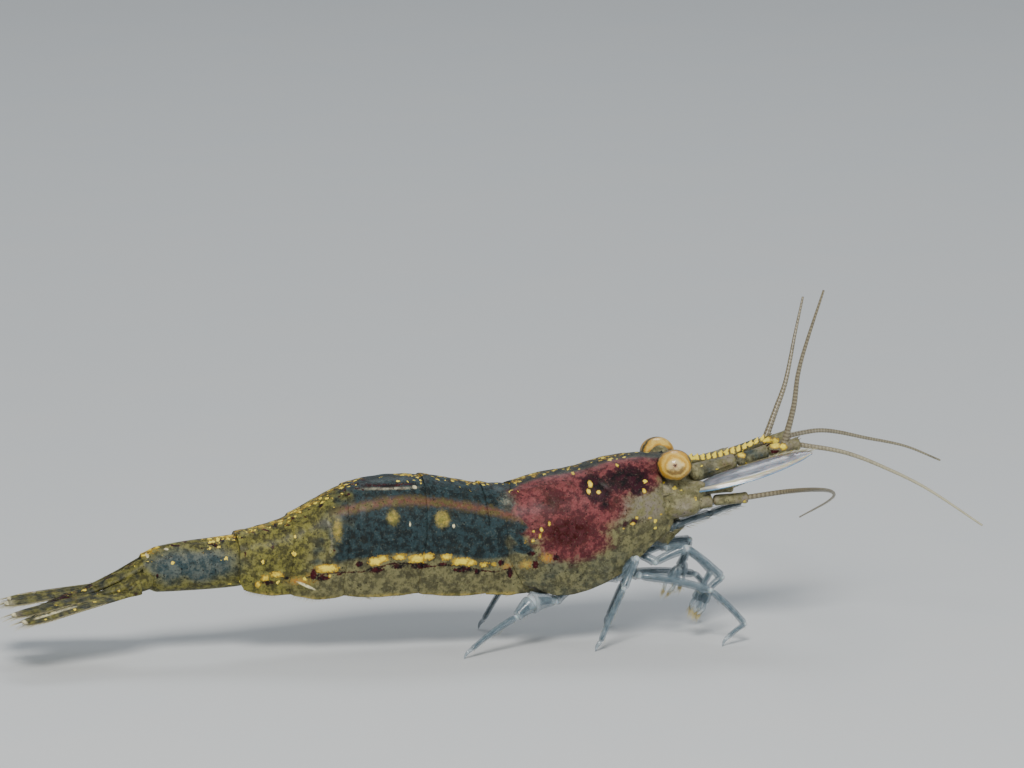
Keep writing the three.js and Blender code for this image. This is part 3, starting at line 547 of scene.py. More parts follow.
def add(tree, kind, inputs=(), out=0, **settings):
    """Adds a node and gives one of its outputs, or the node itself where out is None. inputs are its
    sockets' values, or the outputs they are linked from, in order or by key. settings are its properties."""
    node = tree.nodes.new(kind)
    for key, value in settings.items():
        setattr(node, key, value)
    for key, value in inputs.items() if isinstance(inputs, dict) else enumerate(inputs):
        if isinstance(value, bpy.types.NodeSocket):
            tree.links.new(value, node.inputs[key])
        else:
            node.inputs[key].default_value = value
    return node if out is None else node.outputs[out]


def start_material(name):
    """A new material, its empty tree, and places on the piece in millimetres."""
    material = bpy.data.materials.new(name)
    material.use_nodes = True
    tree = material.node_tree
    tree.nodes.clear()
    place = add(tree, "ShaderNodeTexCoord", out="Object")
    return material, tree, add(tree, VECTORS, {"Vector": place, "Scale": 1 / MM}, operation="SCALE")


def shade(tree, principled):
    """Ends a material: its Principled shader, with the values and links given, and the output."""
    surface = add(tree, "ShaderNodeBsdfPrincipled", principled)
    add(tree, "ShaderNodeOutputMaterial", {"Surface": surface}, None)


def laid_over(tree, under, over, mask, low=None, high=None, amount=1.0):
    """One colour over another, mixed by a mask, or by a smooth step of it from low to high times amount."""
    if low is not None:
        mask = add(tree, LEVELS, (mask, low, high, 0.0, amount), interpolation_type="SMOOTHSTEP")
    return add(tree, MIX, {FACTOR: mask, UNDER: under, OVER: over}, MIXED, data_type="RGBA")


def ragged(tree, name, grain, amount):
    """A marking whose edge is broken by a grain: the marking plus amount times the grain less a half."""
    marking = add(tree, FIELD, out="Fac", attribute_name=name)
    loose = add(tree, MATHS, (grain, amount, marking), operation="MULTIPLY_ADD")
    return add(tree, MATHS, (loose, amount / 2), operation="SUBTRACT")


def flecks(tree, place, size, share, radius, amount=1.0):
    """Round flecks in a share of the cells of a pattern whose cells are `size` millimetres wide."""
    cells = add(tree, CELLS, {"Vector": place, "Scale": 1 / size}, None)
    lot = add(tree, "ShaderNodeSeparateColor", (cells.outputs["Color"],))
    chosen = add(tree, MATHS, (lot, share), operation="LESS_THAN")
    levels = (cells.outputs["Distance"], radius, radius * 0.7, 0.0, amount)
    inside = add(tree, LEVELS, levels, interpolation_type="SMOOTHSTEP")
    return add(tree, MATHS, (chosen, inside), operation="MULTIPLY")


def layered(colours, name, base, layers, values, bump=None):
    """A material whose base colour has others laid over it in turn: rows of mask, colour and levels. A
    mask is a marking's name, noise (millimetres, detail), or flecks (millimetres, share, radius). bump
    is noise with its strength and depth in millimetres."""
    material, tree, mm = start_material(name)
    colour = colours[base]
    for mask, over, *levels in layers:
        if isinstance(mask, str):
            shown = add(tree, FIELD, out="Fac", attribute_name=mask)
        elif len(mask) == 3:
            shown = flecks(tree, mm, *mask)
        else:
            shown = add(tree, NOISE, {"Vector": mm, "Scale": 1 / mask[0], "Detail": mask[1]})
        colour = laid_over(tree, colour, colours[over], shown, *levels)
    values = {"Base Color": colour, **values}
    if bump:
        size, detail, strength, deep = bump
        relief = add(tree, NOISE, {"Vector": mm, "Scale": 1 / size, "Detail": detail})
        values["Normal"] = add(tree, BUMP, {"Strength": strength, "Distance": deep * MM, "Height": relief})
    shade(tree, values)
    return material


# name, millimetres across its features, detail and roughness
SHELL_GRAINS = (("wide", 0.7, 5.0, 0.6), ("middle", 0.24, 5.0, 0.65), ("fine", 0.08, 3.0, 0.65))
# marking, its two colours, which grain breaks its edge, how much, and the step that sharpens it
SHELL_LAYERS = (
    ("dusk", "dusk", "slate_dark", "wide", 0.8, 0.2, 0.8),
    ("olive", "olive", "olive_dark", "wide", 0.7, 0.05, 0.95),
    ("slate", "slate", "slate_dark", "wide", 0.7, 0.2, 0.8),
    ("mist", "mist", "slate", "wide", 0.8, 0.15, 0.85),
    ("band", "rose_brown", "olive_brown", "middle", 1.0, 0.25, 0.85),
    ("veil", "veil", "base", "middle", 1.0, 0.25, 0.9),
    ("blush", "blush", "blush_dark", "middle", 1.2, 0.25, 0.75),
    ("deep", "deep_wine", "blush_dark", "middle", 1.1, 0.3, 0.8),
    ("night", "night", "night_wine", "middle", 1.1, 0.35, 0.75),
    ("soft_gold", "soft_gold", "olive", "fine", 0.9, 0.25, 0.95),
    ("orange", "orange", "soft_gold", "fine", 1.2, 0.35, 0.9),
    ("milk", "milk", "veil", "fine", 0.9, 0.25, 0.9),
    ("wine", "wine", "night", "fine", 1.2, 0.4, 0.7),
    ("cream", "cream", "milk", "fine", 0.6, 0.35, 0.65),
)


def shell_material(colours, name, base, base_dark):
    """Thin clear cuticle over coloured tissue: chitin, grown in one piece and wet-looking. Its colours
    lie soft and mottled under a glossy face, and the gold is a granular, slightly raised reflector."""
    material, tree, mm = start_material(name)
    grains = {}
    for key, size, detail, rough in SHELL_GRAINS:
        noise = {"Vector": mm, "Scale": 1 / size, "Detail": detail, "Roughness": rough}
        grains[key] = add(tree, NOISE, noise)
    mottle = add(tree, LEVELS, (grains["middle"], 0.4, 0.6), interpolation_type="SMOOTHSTEP")
    colour = laid_over(tree, colours[base], colours[base_dark], mottle)
    for mask, light, dark, grain, amount, low, high in SHELL_LAYERS:
        inner = laid_over(tree, colours[light], colours[dark], mottle)
        colour = laid_over(tree, colour, inner, ragged(tree, mask, grains[grain], amount), low, high)
    # Real tissue is never one tone: broad and fine clouds darken all but the gold, and a haze lightens it.
    colour = laid_over(tree, colour, colours["umber"], grains["wide"], 0.5, 0.75, 0.4)
    colour = laid_over(tree, colour, colours["umber"], grains["fine"], 0.52, 0.7, 0.55)
    colour = laid_over(tree, colour, colours["milk"], grains["fine"], 0.45, 0.3, 0.1)
    # The cells of the flecks are stirred by noise, so that no fleck is quite round.
    noise = add(tree, NOISE, {"Vector": mm, "Scale": 1 / 0.1, "Detail": 2.0}, "Color")
    offset = add(tree, VECTORS, (noise, (0.5, 0.5, 0.5)), operation="SUBTRACT")
    wander = add(tree, VECTORS, {"Vector": offset, "Scale": 0.16}, operation="SCALE")
    stirred = add(tree, VECTORS, (mm, wander), operation="ADD")
    sooty = add(tree, FIELD, out="Fac", attribute_name="soot")
    colour = laid_over(tree, colour, colours["soot"], flecks(tree, stirred, 0.11, sooty, 0.3, 0.8))
    # Single gold granules are a few thousandths of a millimetre: they are drawn in clumps of 0.19 mm.
    clumps = flecks(tree, stirred, 0.19, add(tree, FIELD, out="Fac", attribute_name="sprinkle"), 0.5)
    worn = ragged(tree, "gold", grains["fine"], 1.2)
    bars = add(tree, LEVELS, (worn, 0.38, 0.56), interpolation_type="SMOOTHSTEP")
    gold = add(tree, MATHS, (clumps, bars), operation="MAXIMUM")
    thick = add(tree, MATHS, (worn, clumps), operation="MAXIMUM")
    leaf = laid_over(tree, colours["gold_dark"], colours["gold"], thick, 0.45, 1.0)
    fine = add(tree, MATHS, (gold, 0.8, grains["fine"]), operation="MULTIPLY_ADD")
    relief = add(tree, MATHS, (grains["middle"], 1.2, fine), operation="MULTIPLY_ADD")
    values = {
        "Base Color": laid_over(tree, colour, leaf, gold),
        "Metallic": add(tree, MATHS, (gold, 0.2), operation="MULTIPLY"),
        "Roughness": 0.5,
        "IOR": 1.22,
        "Subsurface Weight": 0.12,
        "Subsurface Radius": (1.0, 0.6, 0.4),
        "Subsurface Scale": 0.2 * MM,
        "Coat Weight": 0.2,
        "Coat Roughness": 0.28,
        "Coat IOR": 1.25,
        "Normal": add(tree, BUMP, {"Strength": 0.6, "Distance": 0.035 * MM, "Height": relief}),
    }
    shade(tree, values)
    return [material]


def limb_materials(colours):
    """Clear cuticle of the limbs, see-through with milky joints, and the pale muscle inside it."""
    cuticle = (
        ((0.2, 3.0), "glass_dark", 0.35, 0.65),
        ("joint", "joint", 0.25, 0.85),
        ((0.12, 0.07, 0.3), "umber"),
        # Painted shade: dark slate laid over the limbs marked with it, the mouth limbs under the head.
        ("dusk", "slate_dark"),
    )
    values = {"Roughness": 0.25, "IOR": 1.5, "Alpha": 0.5, "Coat Weight": 0.6, "Coat Roughness": 0.1}
    clear = layered(colours, "clear limb cuticle", "glass", cuticle, values, (0.06, 3.0, 0.35, 0.02))
    muscle = (((0.12, 4.0), "muscle_dark", 0.35, 0.65), ("joint", "joint", 0.2, 0.8))
    values = {"Roughness": 0.5, "IOR": 1.4, "Subsurface Weight": 0.3, "Subsurface Scale": 0.2 * MM}
    return [clear, layered(colours, "limb muscle", "muscle", muscle, values)]


def feeler_material(colours):
    """Feeler cuticle: short stiff rings, each darker at its base, which read as a beaded thread."""
    # Painted light: milk laid over a feeler where its field of painted light is on.
    layers = (("ring", "feeler", 0.2, 0.8), ("bright", "milk"), ((0.5, 3.0), "umber", 0.5, 0.8, 0.4))
    values = {"Roughness": 0.35, "IOR": 1.54, "Coat Weight": 0.3, "Coat Roughness": 0.2}
    return [layered(colours, "ringed feeler cuticle", "feeler_dark", layers, values)]


def scale_material(colours):
    """Antennal scale: a stiff milky blade with a pale thickened rib, and a blue glint painted along its rim.
    """
    material, tree, mm = start_material("milky blade cuticle")
    streaks = add(tree, "ShaderNodeMapping", {"Vector": mm, "Scale": (0.5, 4.0, 4.0)})
    cloud = add(tree, NOISE, {"Vector": streaks, "Scale": 1 / 0.6, "Detail": 4.0})
    fibre = add(tree, LEVELS, (cloud, 0.35, 0.65), interpolation_type="SMOOTHSTEP")
    colour = laid_over(tree, colours["scale"], colours["scale_dark"], fibre)
    # Painted highlight: a blue glint laid along the outer rim.
    rim = add(tree, FIELD, out="Fac", attribute_name="rim")
    colour = laid_over(tree, colour, colours["scale_blue"], rim)
    rib = add(tree, FIELD, out="Fac", attribute_name="rib")
    values = {
        "Base Color": laid_over(tree, colour, colours["milk"], rib, 0.2, 0.8),
        "Roughness": 0.3,
        "IOR": 1.54,
        "Subsurface Weight": 0.3,
        "Subsurface Scale": 0.3 * MM,
        "Coat Weight": 0.6,
        "Coat Roughness": 0.12,
        "Normal": add(tree, BUMP, {"Strength": 0.4, "Distance": 0.02 * MM, "Height": fibre}),
    }
    shade(tree, values)
    return [material]


def hair_material(colours, name, light, dark):
    """Setae: fine tapering bristles of clear chitin, which look pale, and darker at their thick roots."""
    values = {"Roughness": 0.4, "IOR": 1.54, "Alpha": 0.8}
    return [layered(colours, name, dark, (("tip", light),), values)]


# the eye's rings: where each colour stands between the point (0) and the far side (1)
EYE_RINGS = (
    (0.0, "pupil"), (0.022, "pupil"), (0.038, "eye_rose"), (0.065, "eye_cream"), (0.11, "eye_cream"),
    (0.15, "eye_pale"), (0.18, "eye_gold"), (0.25, "eye_pale"), (0.3, "eye_gold"), (0.36, "eye_gold"),
    (0.39, "eye_fawn"), (0.425, "olive_dark"), (0.47, "olive_dark"), (0.53, "eye_gold"), (0.62, "eye_pale"),
    (0.72, "eye_gold"), (0.82, "eye_brown"), (0.92, "olive_dark"),
)


def eye_material(colours):
    """Compound eye: a dome of tiny clear lenses over a reflecting layer, pale gold in rings round a
    dark point, with brown painted shade below and a wet gloss. Broad and fine noise makes the rings uneven."""
    material, tree, mm = start_material("eye lenses")
    fine = add(tree, NOISE, {"Vector": mm, "Scale": 1 / 0.035, "Detail": 4.0, "Roughness": 0.7})
    broad = add(tree, NOISE, {"Vector": mm, "Scale": 1 / 0.4, "Detail": 2.0})
    uneven = add(tree, MATHS, (broad, 0.9, 0.55), operation="MULTIPLY_ADD")
    polar = add(tree, FIELD, out="Fac", attribute_name="polar")
    warped = add(tree, MATHS, (polar, uneven), operation="MULTIPLY")
    shifted = add(tree, MATHS, (fine, 0.15, warped), operation="MULTIPLY_ADD")
    turn = add(tree, MATHS, (shifted, 0.075), operation="SUBTRACT")
    ramp = add(tree, "ShaderNodeValToRGB", (turn,), None)
    elements = ramp.color_ramp.elements
    elements.remove(elements[1])
    elements[0].color = colours[EYE_RINGS[0][1]]
    for position, name in EYE_RINGS[1:]:
        elements.new(position).color = colours[name]
    cloud = add(tree, NOISE, {"Vector": mm, "Scale": 1 / 0.11, "Detail": 3.0, "Roughness": 0.6})
    # Painted shade: the lower side of the eye and a crescent under its point are darkened to brown.
    low = ragged(tree, "low", cloud, 0.9)
    # Real facets are about 0.02 mm across: they are drawn at 0.045 mm so that they show.
    facets = add(tree, CELLS, {"Vector": mm, "Scale": 1 / 0.045, "Randomness": 0.35}, "Distance")
    values = {
        "Base Color": laid_over(tree, ramp.outputs[0], colours["eye_brown"], low, 0.1, 0.6, 0.85),
        "Roughness": 0.45,
        "IOR": 1.4,
        "Coat Weight": 0.5,
        "Coat Roughness": 0.08,
        "Normal": add(tree, BUMP, {"Strength": 0.5, "Distance": 0.014 * MM, "Height": facets}),
    }
    shade(tree, values)
    return [material]


def floor_material(colours):
    """Matt painted board: a plain pale ground with faint broad clouds."""
    layers = (((6.0, 3.0), "board_warm"),)
    return [layered(colours, "pale painted board", "board", layers, {"Roughness": 0.7})]


# Each finish: what makes it, and for some the material's name and its light and dark colours.
FINISHES = {
    "shell": (shell_material, "clear cuticle over mottled tissue", "base", "base_dark"),
    "flesh": (shell_material, "olive flesh under clear skin", "flesh", "flesh_dark"),
    "stem": (shell_material, "olive flesh of the stems", "flesh", "flesh_dark"),
    "limb": (limb_materials,),
    "feeler": (feeler_material,),
    "scale": (scale_material,),
    "setae": (hair_material, "pale setae", "cream", "olive_brown"),
    "brush": (hair_material, "cream gold setae", "cream", "soft_gold"),
    "eye": (eye_material,),
    "board": (floor_material,),
}


def finish(context, name):
    """A finish's materials: made once from the colours of the panel, then found again by name."""
    found = [material for material in bpy.data.materials if material.get("finish") == name]
    if not found:
        group = context.scene.shrimp_colours
        colours = {key: tuple(getattr(group, key)) for key in ShrimpColours.__annotations__}
        maker, *names = FINISHES[name]
        found = maker(colours, *names)
        for material in found:
            material["finish"] = name
    return found


# ---- what a user can change
def swatch(name, description, code):
    """A colour property whose default is an sRGB hex colour."""
    return bpy.props.FloatVectorProperty(
        name=name,
        description=description,
        default=linear(code),
        subtype="COLOR",
        size=4,
        min=0.0,
        max=1.0,
    )


def length(name, description, millimetres):
    """A length property whose default is given in millimetres."""
    return bpy.props.FloatProperty(
        name=name,
        description=description,
        default=millimetres * MM,
        unit="LENGTH",
        precision=6,
        min=0.0,
    )


class ShrimpColours(bpy.types.PropertyGroup):
    """The colours of the shell, limbs and eyes."""

    base: swatch("Shell", "Olive grey of the lower shell and side plates", "#77734f")
    base_dark: swatch("Shell mottle", "Darker mottling of the shell", "#4c4a35")
    olive: swatch("Olive", "Yellow-olive of the rear rings", "#7a763a")
    olive_dark: swatch("Olive mottle", "Darker olive mottling", "#413f22")
    # Grey brown along the top of the back; the field of the same name is painted shade on the mouth limbs.
    dusk: swatch("Dusk", "Grey brown of the upper back", "#3b3d34")
    mist: swatch("Mist", "Blue grey patch of the last ring", "#575f5a")
    slate: swatch("Muscle", "Slate blue of the muscle under the shell", "#2b3d41")
    slate_dark: swatch("Muscle mottle", "Darker slate of the muscle", "#182123")
    rose_brown: swatch("Band", "Rose brown band above the muscle", "#6e4536")
    olive_brown: swatch("Band mottle", "Olive in the band", "#5c5330")
    veil: swatch("Veil", "Grey-beige tissue behind the eyes", "#80776a")
    blush: swatch("Blush", "Rose red of the carapace", "#7e4142")
    blush_dark: swatch("Blush veins", "Wine red veins of the carapace", "#4f2227")
    deep_wine: swatch("Liver", "Deep wine red over the digestive gland", "#360304")
    night: swatch("Night", "Purple black patches", "#0b050c")
    night_wine: swatch("Night wine", "Dark wine edge of the black patches", "#330c1a")
    soft_gold: swatch("Soft gold", "Gold blotches under the shell", "#b59f4c")
    orange: swatch("Orange", "Orange blotches in line with the bars", "#b4782a")
    # Milk is also the colour of the painted highlight at the shoulder and of the painted light along the near
    # feeler.
    milk: swatch("Milk", "Milky edges and ribs", "#b9b396")
    wine: swatch("Wine", "Wine spots below the gold bars", "#3e0712")
    cream: swatch("Cream", "Small cream spots", "#f0e6b4")
    umber: swatch("Umber", "Fine brown veining", "#2c2718")
    soot: swatch("Soot", "Black pigment points", "#080708")
    gold: swatch("Gold", "Bright reflecting granules", "#f0d84e")
    gold_dark: swatch("Old gold", "Darker gold granules", "#a5822a")
    flesh: swatch("Flesh", "Olive grey of the head and mouth", "#8c8762")
    flesh_dark: swatch("Flesh mottle", "Darker mottling of the head", "#5c583e")
    glass: swatch("Limb", "Blue white of the clear limbs", "#8496a0")
    glass_dark: swatch("Limb shade", "Darker blue of the clear limbs", "#5f7480")
    joint: swatch("Joint", "White of the limb joints", "#c3cdd0")
    muscle: swatch("Limb muscle", "Pale muscle inside the limbs", "#4a595d")
    muscle_dark: swatch("Limb muscle shade", "Brownish muscle inside the limbs", "#3c4041")
    feeler: swatch("Feeler", "Pale rings of the feelers", "#8a8168")
    feeler_dark: swatch("Feeler shade", "Dark rings of the feelers", "#6a604a")
    scale: swatch("Scale", "Blue white of the antennal scales", "#8b9199")
    scale_dark: swatch("Scale shade", "Grey streaks of the antennal scales", "#666d79")
    # Painted highlight: the blue glint along the rims of the scales.
    scale_blue: swatch("Scale rim", "Blue rim of the antennal scales", "#4d8cb4")
    pupil: swatch("Eye point", "Dark point at the middle of the eye", "#2a0c08")
    eye_rose: swatch("Eye rose", "Rose ring round the eye's point", "#a47a5c")
    eye_cream: swatch("Eye cream", "Pale middle of the eye, round its point", "#d6be84")
    eye_fawn: swatch("Eye fawn", "Fawn ring of the eye, before the dark rim", "#a08348")
    # The brown of the eye's back, and also the painted shade of its lower side.
    eye_brown: swatch("Eye brown", "Brown lower patch and back of the eye", "#6b5124")
    eye_gold: swatch("Eye gold", "Gold rings of the eye", "#c29024")
    eye_pale: swatch("Eye pale", "Paler gold between the rings of the eye", "#e3bf5c")
    board: swatch("Board", "Pale floor", "#d3d7d9")
    board_warm: swatch("Board cloud", "Faint warmer cloud in the floor", "#d8d9d8")


class ShrimpSizes(bpy.types.PropertyGroup):
    """The small sizes that the frame leaves open."""

    lip: length("Plate lip", "How far an overlapping edge stands proud of its neighbour", 0.022)
    blade: length("Blade thickness", "Half the thickness of scales and tail blades", 0.045)
    hair: length("Hair thickness", "Half the thickness of a hair at its root", 0.012)
    fringe: length("Fringe length", "Length of the longest fringe hairs", 0.55)
    feeler_ring: length("Feeler ring", "Length of one ring of a feeler", 0.13)
    feeler_root: length("Feeler thickness", "Half the thickness of a raised feeler at its root", 0.13)
    limb_core: bpy.props.FloatProperty(
        name="Limb muscle",
        description="Thickness of the muscle inside a limb, as a share of the limb",
        default=0.55,
        min=0.1,
        max=0.95,
        subtype="FACTOR",
    )


# ---- carapace
def carapace_front(down):
    """The front edge: hollowed behind the eye, then sweeping down and back to a rounded corner."""
    orbit = 0.28 * bump_at(down, 0.17, 0.09)
    return 7.62 - 0.45 * np.sin(np.pi * np.minimum(1, 1.4 * down)) - 0.25 * down**4 - orbit


def carapace_rear(down):
    """The rear edge: hollowed as half a sine of the way down."""
    return 1.7 - 0.55 * np.sin(np.pi * down) + 0.15 * down


def carapace_lift(share):
    """How far the hem rises at the carapace's ends: the cube of what a half sine lacks of 1."""
    return 0.35 * (1 - np.sin(np.pi * np.minimum(1, 0.12 + 0.95 * share))) ** 3


def carapace_relief(x, z, down):
    """The neck groove, the swelling over the gills, a fold behind, and the rolled lower rim."""
    neck = through((3.6, 4.4, 5.2, 6.1), (6.75, 6.35, 5.75, 4.7), z)
    groove = 0.022 * bump_at(x, neck, 0.1) * window(z, 3.9, 6.0, 0.3)
    gill = 0.05 * blotches(x, z, ((3.7, 3.9, 1.9, 1.2),), 1.2)
    fold = 0.025 * bump_at(z, 5.85 + 0.15 * (x - 2.0), 0.045) * window(x, 1.6, 2.6, 0.2)
    rim = 0.03 * step(0.95, 0.99, down)
    return gill - groove + fold + rim + 0.006 * np.sin(9 * x + 3 * z) * np.sin(7 * z - 2 * x)


ROSTRUM_BACK = (  # along, up
    (6.2, 6.86), (7.4, 6.84), (8.4, 6.7), (9.2, 6.69), (10.2, 6.89), (11.0, 7.17), (11.62, 7.41),
)
ROSTRUM_KEEL = ((6.2, 6.4), (8.1, 6.38), (9.2, 6.36), (10.3, 6.62), (11.2, 7.1), (11.62, 7.38))
ROSTRUM_TEETH = 18
TOOTH_SPAN = (7.25, 11.35)  # where along the rostrum the teeth stand
TOOTH_HEIGHT = 0.1


def tooth_phase(x):
    """How many teeth lie behind x."""
    return (x - TOOTH_SPAN[0]) / (TOOTH_SPAN[1] - TOOTH_SPAN[0]) * ROSTRUM_TEETH


def rostrum():
    """A thin keel with a ridge along each side. Its upper edge is a row of teeth that lean forwards:
    each rises as the 1.6th power of its share and drops steeply. Small notches cut its lower edge."""
    x = np.linspace(ROSTRUM_BACK[0][0], ROSTRUM_BACK[-1][0], 420)
    back = through(*np.array(ROSTRUM_BACK).T, x)
    keel = through(*np.array(ROSTRUM_KEEL).T, x)
    phase = tooth_phase(x)
    cycle = phase % 1
    tooth = np.where(cycle < 0.8, (cycle / 0.8) ** 1.6, (1 - cycle) / 0.2)
    tooth = tooth * (phase > 0) * (phase < ROSTRUM_TEETH)
    notch = 0.05 * ((x - 9.6) / 0.42 % 1) ** 1.5 * window(x, 9.6, 11.0, 0.05)
    ridge = keel + (back - keel) * 0.42
    angle = turns(28)
    rise, reach = np.sin(angle), np.cos(angle)
    wide = through((6.2, 7.4, 8.6, 10.0, 11.2, 11.62), (0.3, 0.27, 0.2, 0.15, 0.09, 0.03), x)
    y = wide[:, None] * np.sign(reach) * np.abs(reach) ** 1.9
    above = (back - ridge)[:, None] * np.clip(rise, 0, None)
    point = (TOOTH_HEIGHT * tooth)[:, None] * np.clip(rise, 0, None) ** 6
    below = (ridge - keel + notch)[:, None] * np.clip(rise, None, 0)
    skin = marked(across_x(x[:, None], y, ridge[:, None] + above + below + point))
    px, _, pz = skin.points.T
    from_dot = np.abs(tooth_phase(px) % 1 - 0.5)
    height = pz - through(*np.array(ROSTRUM_BACK).T, px)
    row = window(px, 8.0, 11.3, 0.1)
    skin.values["gold"] = row * edge(0.36 - from_dot, 0.3) * step(-0.17, -0.1, height)
    skin.values["sprinkle"] = 0.5 * row * (height > -0.2)
    skin.values["wine"] = 0.4 * row * edge(from_dot - 0.42, 0.1) * (height > -0.12)
    return skin


def spike(root, tip, thick, steps=10, around=10):
    """A straight spine that tapers to its tip."""
    share, path, ways = along((root, tip), steps)
    reference = (0, 1, 0) if abs(ways[0][2]) > 0.8 else (0, 0, 1)
    return loft(tube(path, ways, thick * (1 - 0.97 * share**1.3), reference=reference, around=around))


# Spines of the carapace's front edge: place along, share of the way down, half thickness, and how far
# the root and the tip lie from there, along, outwards and up.
FRONT_SPINES = (
    (7.2, 0.42, 0.07, (-0.15, -0.04, 0.0), (0.38, 0.05, 0.05)),
    (7.35, 0.28, 0.06, (-0.25, -0.03, 0.0), (0.15, 0.04, 0.06)),
)


class SHRIMP_OT_carapace(bpy.types.Operator):
    """The carapace with its rostrum and the spines of its front edge"""

    bl_idname = "shrimp.carapace"
    bl_label = "Carapace"

    def execute(self, context):
        lip = context.scene.shrimp_sizes.lip / MM
        shell = plate(
            CARAPACE_FORM,
            carapace_front,
            carapace_rear,
            lip,
            over_front=np.ones_like,
            over_rear=np.ones_like,
            lift=carapace_lift,
            relief=carapace_relief,
            steps=150,
            fine=96,
        )
        skins = [marked(shell), rostrum()]
        for _, hand in SIDES:
            for x, down, thick, to_root, to_tip in FRONT_SPINES:
                at = np.array((x, *flank(CARAPACE_FORM, x, down)))
                root, tip = ((at + offset) * (1, hand, 1) for offset in (to_root, to_tip))
                skins.append(marked(spike(root, tip, thick)))
        make_piece("shell_carapace", skins, finish(context, "shell"), "carapace_shell", "carapace")
        return {"FINISHED"}


# ---- abdomen
RING_EDGES = (1.62, 0.5, -1.7, -4.6, -6.6, -8.6)  # where each edge crosses the back
EDGE_SWELL = (0.0, 0.55, -0.5, -0.35, -0.3, 0.0)  # and how far on it is at the hem
HEM_SCALLOP = 0.13
RING_FLARE = 0.02


def ring_edge(index):
    """The edge ahead of a ring: swelling towards the hem as the square of the way down."""

    def border(down):
        """Where the edge lies, for each share of the way down."""
        under_shell = 0.5 * np.sin(np.pi * down) if index == 0 else 0
        return RING_EDGES[index] + EDGE_SWELL[index] * down**2 - under_shell

    return border


def rounded(border, towards):
    """The same edge, drawn in towards the plate's middle near the hem, which rounds its corner."""
    return lambda down: border(down) + towards * 0.14 * step(0.78, 1.0, down) ** 2


def hem_lift(share):
    """How far a side plate's hem rises towards its ends: what a rounded half sine lacks of 1."""
    return HEM_SCALLOP * (1 - np.sin(np.pi * np.clip(share, 0, 1)) ** 0.7)


def lies_under(down):
    """-1 all the way down: the edge runs on beneath its neighbour."""
    return -np.ones_like(down)


def second_over(down):
    """-1 on the back and 1 on the side: the second ring's side plate lies over the first's."""
    return 2 * step(0.3, 0.5, down) - 1


def first_over(down):
    """1 on the back and -1 on the side: the first ring's rear, where the second's front meets it."""
    return -second_over(down)


def ring_relief(index):
    """A ring widens towards its rear, with a crease ahead of its lip and a step over its side plate."""
    rear = ring_edge(index + 1)
    front = ring_edge(index)

    def relief(x, z, down):
        """How far the ring's skin stands out or sinks in."""
        share = np.clip((front(down) - x) / (front(down) - rear(down)), 0, 1)
        flare = -RING_FLARE * 1.6 * (1 - share)
        crease = -0.012 * bump_at(x - rear(down), 0.42, 0.07) * (1 - step(0.6, 0.8, down))
        side = 0.02 * step(0.62, 0.68, down) * np.sin(np.pi * share)
        fold = -0.02 * bump_at(down, 0.61, 0.02) * window(share, 0.1, 0.9, 0.1)
        meet = 0.06 * step(0.8, 1.6, x) if index == 0 else 0.0
        return flare + crease + side + fold + meet + 0.008 * np.sin(8 * x + 2 * z) * np.sin(9 * z)

    return relief


LAST_RING = (  # along, up, half width, half height
    (-8.3, 3.52, 0.84, 0.9), (-8.65, 3.5, 0.86, 0.93), (-9.4, 3.44, 0.79, 0.92),
    (-10.6, 3.37, 0.71, 0.88), (-11.6, 3.29, 0.68, 0.8), (-12.1, 3.24, 0.64, 0.72),
)


def last_ring():
    """The sixth ring: a closed oval tube with a low keel on its back and a rolled rear rim."""
    inner = np.linspace(-8.3, -12.08, 84)
    x = np.concatenate([inner, [-12.1, -12.11, -12.105, -12.07]])
    up, half, high = columns(LAST_RING, x)
    sink = np.concatenate([np.zeros(84), [0.008, 0.025, 0.05, 0.12]])
    rim = 0.015 * bump_at(x, -12.05, 0.1) - 0.1 * step(-11.5, -12.1, x) - sink
    angle = turns(150)
    keel = 0.05 * bump_at(np.sin(angle), 1.0, 0.02)
    y = (half + rim)[:, None] * np.sign(np.cos(angle)) * np.abs(np.cos(angle)) ** 0.92
    z = up[:, None] + (high + rim)[:, None] * np.sin(angle) + keel
    notch = 0.16 * np.clip(-np.sin(angle), 0, 1) * step(-11.4, -12.1, x)[:, None]
    return across_x(x[:, None] + notch, y, z)


class SHRIMP_OT_abdomen(bpy.types.Operator):
    """The six rings of the abdomen, each over the next, with a fringe along the side plates"""

    bl_idname = "shrimp.abdomen"
    bl_label = "Abdomen"

    def execute(self, context):
        lip = context.scene.shrimp_sizes.lip / MM
        material = finish(context, "shell")
        fringe = []
        for index in range(5):
            edges = (rounded(ring_edge(index), -1), rounded(ring_edge(index + 1), 1))
            if index == 0:
                edges = (ring_edge(0), ring_edge(1))
            skin = plate(
                ABDOMEN_FORM,
                *edges,
                lip,
                over_front=second_over if index == 1 else lies_under,
                over_rear=first_over if index == 0 else np.ones_like,
                lift=hem_lift if index else None,
                relief=ring_relief(index),
                steps=64 if index else 44,
            )
            name = f"abdomen_{index + 1}"
            make_piece(f"shell_{name}", [marked(skin)], material, "abdomen_shell", name)
            fringe.append(hem_hairs(context, *edges, index))
        make_piece("shell_abdomen_6", [marked(last_ring())], material, "abdomen_shell", "abdomen_6")
        make_piece("hem_fringe", fringe, finish(context, "setae"), "abdomen_shell")
        return {"FINISHED"}


